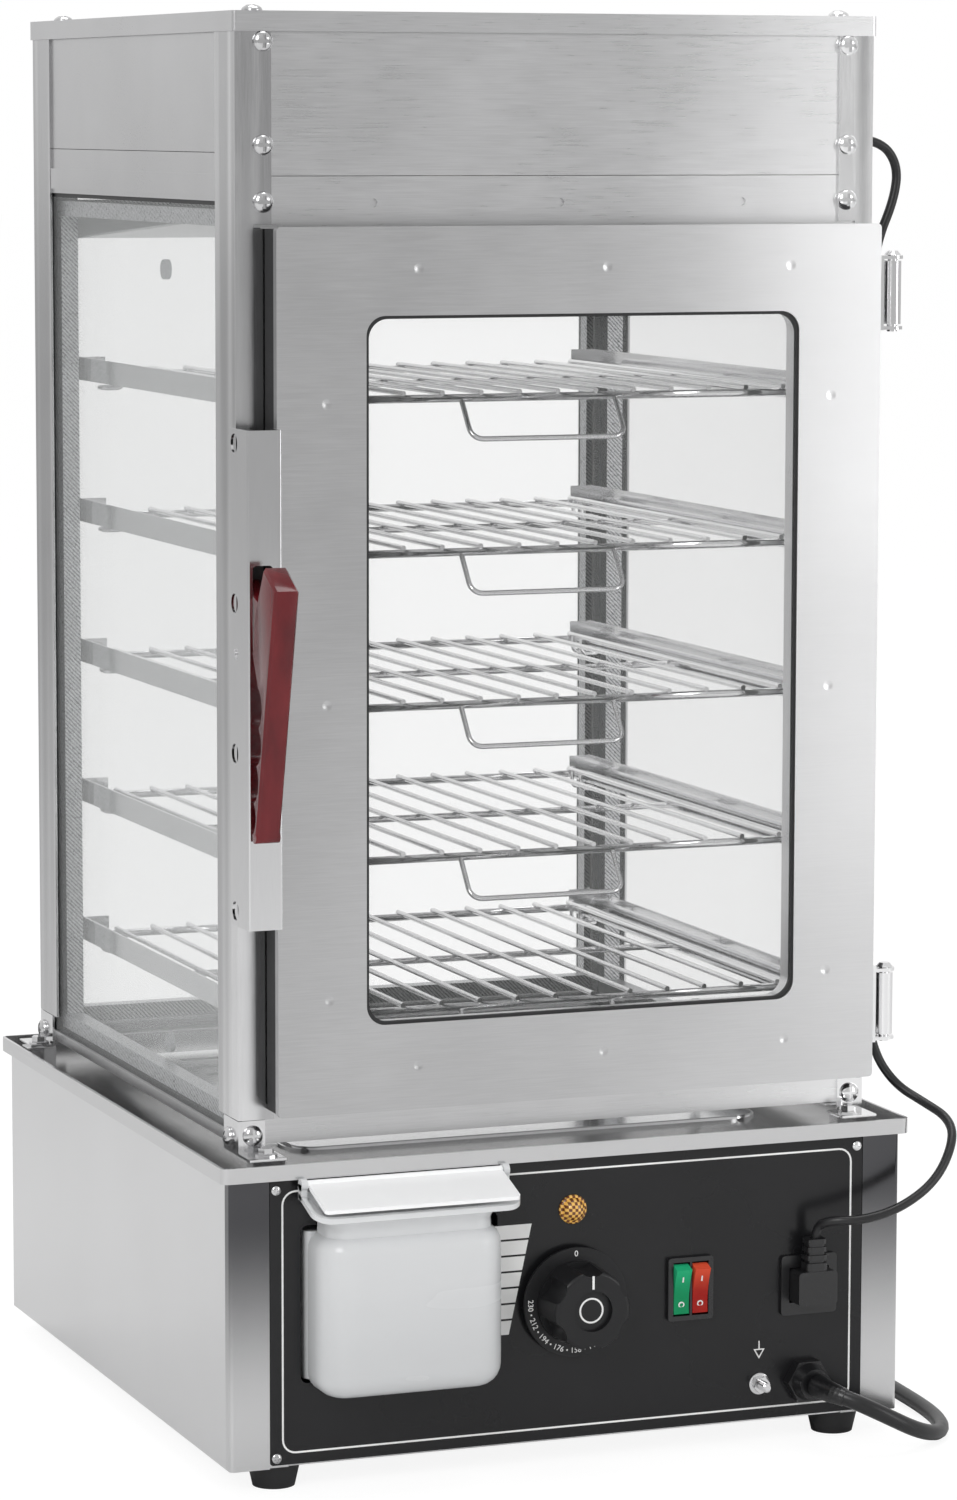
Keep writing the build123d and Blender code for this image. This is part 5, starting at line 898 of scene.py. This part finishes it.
ink_lift, ink_thick = 0.06, 0.12
dial_x, dial_z = dial_centre
skirt_middle, figure_size, zero_size, dot_radius = 23.9, 3.9, 4.2, 0.45
dial_parts = []
figures = ["230", "212", "194", "176", "158", "140", "122", "104", "86"]
for count, figure in enumerate(figures):
    turn = pi + count * pi / 8
    spot = (dial_x + skirt_middle * cos(turn), skirt_face - ink_lift, dial_z + skirt_middle * sin(turn))
    upright_turn = Matrix.Rotation(turn + pi / 2, 4, "Z")
    dial_parts += print_mesh(figure, figure_size, facing(front, spot) @ upright_turn)
for count in range(len(figures) - 1):
    turn = pi + (count + 0.5) * pi / 8
    spot = (dial_x + skirt_middle * cos(turn), skirt_face, dial_z + skirt_middle * sin(turn))
    dot = [(dot_radius * cos(k * pi / 5), dot_radius * sin(k * pi / 5)) for k in range(10)]
    dial_parts += placed(prism(dot, 0, ink_thick), facing(front, spot))
dial_parts += print_mesh("0", zero_size,
                         facing(front, (dial_x, skirt_face - ink_lift, dial_z + skirt_middle)))
dial_parts += placed(prism(rectangle(1.1, 6.5, 0, 14.2), 0, ink_thick),
                     facing(front, (dial_x, knob_face, dial_z)))
ring_steps, ring_radius = 40, 6.3
ring_turns = [2 * pi * k / ring_steps for k in range(ring_steps)]
ring_outer = [(ring_radius * cos(turn), ring_radius * sin(turn)) for turn in ring_turns]
ring_inner = [(x * 0.86, y * 0.86) for x, y in ring_outer]
dial_parts += placed(frame_between(ring_outer, ring_inner, 0, ink_thick),
                     facing(front, (dial_x, knob_recess_face, dial_z)))
piece("dial_figures", mesh_of(dial_parts), white_ink, "dial", smooth=False)

panel_bottom, panel_top, line_width, line_thick = 13.5, 152.2, 299.0, 0.9
panel_middle = (panel_bottom + panel_top) / 2
line_height = panel_top - panel_bottom - 10.5
line_outer = rounded(line_width, line_height, 7.0)
line_inner = rounded(line_width - 2 * line_thick, line_height - 2 * line_thick, 7.0 - line_thick)
panel_parts = placed(frame_between(line_outer, line_inner, 0, ink_thick),
                     facing(front, (0, panel_face, panel_middle)))
bar_top, bar_bottom, bar_left, bar_count, bar_gap = 121.5, 66.5, -41.0, 7, 1.0
bar_right, bar_widening = -33.4, 12.0
for count in range(bar_count):
    upper = bar_top - count * (bar_top - bar_bottom) / bar_count
    lower = upper - (bar_top - bar_bottom) / bar_count + bar_gap
    right = [bar_right + bar_widening * (z - bar_bottom) / (bar_top - bar_bottom) for z in (upper, lower)]
    bar = [(bar_left, upper), (bar_left, lower), (right[1], lower), (right[0], upper)]
    panel_parts += placed(prism(bar, 0, ink_thick), facing(front, (0, panel_face, 0)))
earth_x, earth_z = 100.0, 31.5
mark = [(-3.0, 17.5), (3.0, 17.5), (0.0, 12.5)]
mark_inner = [(-2.0, 16.9), (2.0, 16.9), (0.0, 13.6)]
earth_place = facing(front, (earth_x, panel_face, earth_z))
panel_parts += placed(frame_between(mark, mark_inner, 0, ink_thick), earth_place)
panel_parts += placed(prism(rectangle(0.6, 4.0, 0, 19.5), 0, ink_thick), earth_place)
piece("panel_lines", mesh_of(panel_parts), white_ink, "cabinet", smooth=False)

# Rocker marks: a bar and a ring on each key, which is tilted in its off position
tilt = radians(10)
lean, up_key = Vector((0, -cos(tilt), -sin(tilt))), Vector((0, -sin(tilt), cos(tilt)))
key_y, key_z, key_out, key_hollow, key_half = -165.5, 83.0, 6.0, 1.55, 11.5
for name, body, key_x in (("power_marks", "power_switch", 57.0), ("light_marks", "light_switch", 67.0)):
    marks = []
    for along_key, outline in ((6.5, "bar"), (-7.0, "ring")):
        out = key_out - key_hollow * (1 - (along_key / key_half) ** 2)
        spot = Vector((key_x, key_y, key_z)) + lean * out + up_key * along_key
        where = facing(lean, spot)
        if outline == "bar":
            marks += placed(prism(rectangle(0.7, 3.4), -0.25, 0.14), where)
        else:
            ring = [(1.6 * cos(k * pi / 10), 1.6 * sin(k * pi / 10)) for k in range(20)]
            marks += placed(frame_between(ring, [(x * 0.62, y * 0.62) for x, y in ring], -0.3, 0.16), where)
    piece(name, mesh_of(marks), white_ink, body, smooth=False)

# Pilot light: rim and jewel
pilot_place = facing(front, (0.0, panel_face, 127.0))
rim = turned([(5.8, 0.0), (7.2, 0.0), (7.2, 0.8), (6.7, 1.6), (6.0, 1.8), (5.6, 1.3), (5.8, 0.0)], 36)
piece("pilot_rim", mesh_of(placed(rim, pilot_place)), amber, "cabinet")
lens_radius, lens_base, lens_start, lens_rise = 5.75, 0.4, 1.2, 4.6
lens_profile = [(0, lens_base), (lens_radius, lens_base)]
lens_profile += [(lens_radius * cos(k * pi / 16), lens_start + lens_rise * sin(k * pi / 16))
                 for k in range(8)]
lens_profile += [(0, lens_start + lens_rise)]
lens = piece("pilot_jewel", mesh_of(placed(turned(lens_profile, 36), pilot_place)), amber,
             "cabinet")
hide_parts("pilot_light")

# Earth stud beside the mains gland
stud = turned([(0, 0), (5.4, 0), (5.4, 0.9), (4.4, 1.1), (0, 1.1)], 28)
stud += prism([(4.3 * cos(k * pi / 3 + 0.2), 4.3 * sin(k * pi / 3 + 0.2)) for k in range(6)], 1.1, 4.4)
thread = [(0, 4.4)]
for k in range(7):
    thread += [(2.1, 4.4 + k * 0.9), (2.4, 4.85 + k * 0.9)]
stud += turned(thread + [(1.7, 10.9), (0, 10.9)], 20)
stud_mesh = mesh_of(placed(stud, earth_place))
piece("earth_stud", stud_mesh, screw_finish, "cabinet")
stud_mesh.set_sharp_from_angle(angle=radians(35))


# Cords
def nurbs_cord(name, route, diameter, finish, node_names):
    """A free cord as one NURBS spline through control points in millimetres."""
    curve = bpy.data.curves.new(name, "CURVE")
    curve.dimensions = "3D"
    curve.resolution_u = 8
    curve.bevel_depth = diameter / 2 * MM
    curve.bevel_resolution = 4
    curve.use_fill_caps = True
    spline = curve.splines.new("NURBS")
    spline.points.add(len(route) - 1)
    for point, place in zip(spline.points, route):
        point.co = (*mm(*place), 1.0)
    spline.order_u = 3
    spline.use_endpoint_u = True
    curve.materials.append(finish.material)
    made = bpy.data.objects.new(name, curve)
    scene.collection.objects.link(made)
    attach(made, "cabinet")
    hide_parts(*node_names)
    return made


light_route = [
    (162.0, -130.0, 643.5), (176.0, -130.0, 643.0), (186.0, -130.5, 631.0), (184.0, -131.0, 614.0),
    (174.5, -130.5, 592.0), (170.0, -130.0, 556.0), (169.0, -130.5, 500.0), (170.5, -130.0, 444.0),
    (169.0, -130.5, 388.0), (170.0, -130.0, 332.0), (168.8, -130.5, 276.0), (170.5, -130.0, 226.0),
    (177.5, -130.5, 188.0), (188.0, -135.0, 170.5), (199.0, -147.0, 162.5), (204.0, -164.0, 157.5),
    (201.0, -177.0, 149.0), (187.0, -187.0, 131.5), (165.0, -191.0, 119.5), (144.0, -190.5, 115.0),
    (130.0, -184.5, 115.0), (126.0, -174.7, 110.0), (126.0, -174.7, 97.0),
]
light_lead = nurbs_cord("lamp_lead", light_route, 4.6, finishes["cord_sheath"], ["light_cord"])
mm(*light_route[0])

floor_height, layer_rise = 4.1, 8.6
upper_height = floor_height + layer_rise
coil_x, coil_y, coil_outer, coil_inner = 120.0, 280.0, 52.8, 31.5
lower_pitch, upper_pitch, lower_quarters, total_quarters = 8.8, 10.4, 8, 17
coil_start_x = coil_x + coil_outer
mains_route = [
    (125.0, -174.0, 31.5), (125.0, -193.0, 31.5), (134.0, -204.0, 28.5), (150.0, -209.0, 20.5),
    (168.0, -206.0, 11.0), (184.0, -196.0, 5.2),
]
floor_route = [(196.0, -179.0), (203.0, -150.0), (206.0, -100.0), (209.0, -30.0), (207.0, 50.0),
               (208.0, 125.0), (200.0, 180.0), (180.0, 218.0), (coil_start_x, 246.0),
               (coil_start_x, 272.0)]
mains_route += [(x, y, floor_height) for x, y in floor_route]
steps_per_quarter = 4
for step in range(1, total_quarters * steps_per_quarter):
    quarter = step / steps_per_quarter
    share = min(max((quarter - lower_quarters) / 2, 0.0), 1.0)
    rise = share * share * (3 - 2 * share)
    if quarter <= lower_quarters:
        radius = coil_outer - lower_pitch * quarter / 4
    elif quarter <= lower_quarters + 1:
        last_radius = coil_outer - lower_pitch * lower_quarters / 4
        radius = last_radius + (coil_inner - last_radius) * (quarter - lower_quarters)
    else:
        radius = coil_inner + upper_pitch * (quarter - lower_quarters - 1) / 4
    turn = quarter * pi / 2
    mains_route.append((coil_x + radius * cos(turn), coil_y + radius * sin(turn),
                        floor_height + layer_rise * rise))
coil_end_y = coil_y + coil_inner + upper_pitch * (total_quarters - lower_quarters - 1) / 4
mains_route += [(112.0, coil_end_y, upper_height), (84.0, coil_end_y, upper_height),
                (58.0, coil_end_y + 6.0, upper_height), (34.0, coil_end_y + 4.0, upper_height),
                (14.0, coil_end_y + 4.0, upper_height)]
mains_lead = nurbs_cord("mains_lead", mains_route, 8.0, finishes["cord_sheath"],
                        ["power_cord", "power_cord_coil"])

# Strain relief: a ribbed, tapered sleeve that follows the lead out of its gland
bare = mains_lead.data.copy()
bare.bevel_depth = 0.0
line_holder = bpy.data.objects.new("line", bare)
scene.collection.objects.link(line_holder)
lead_line = [v.co.copy() for v in plain_mesh(line_holder).vertices]
sleeve_start, sleeve_length = 6 * MM, 24 * MM
sleeve_radius, sleeve_taper, groove_share = 6.2, 1.7, 0.93
sleeve_line, sleeve_radii, travelled, rib = [], [], 0.0, 0
for here, there in zip(lead_line, lead_line[1:]):
    travelled += (there - here).length
    if sleeve_start <= travelled <= sleeve_start + sleeve_length:
        share = (travelled - sleeve_start) / sleeve_length
        sleeve_line.append(there)
        sleeve_radii.append((sleeve_radius - sleeve_taper * share) * MM)
fine_line, fine_radii = [], []
for k in range(len(sleeve_line) - 1):
    for sub in range(4):
        share = sub / 4
        fine_line.append(sleeve_line[k].lerp(sleeve_line[k + 1], share))
        rib += 1
        plain = sleeve_radii[k] + (sleeve_radii[k + 1] - sleeve_radii[k]) * share
        fine_radii.append(plain * (1.0 if rib % 2 else groove_share))
relief = piece("mains_strain_relief", mesh_of(tube(fine_line, fine_radii, 20)),
               finishes["black_plastic"], "cabinet")
mm(*mains_route[0])
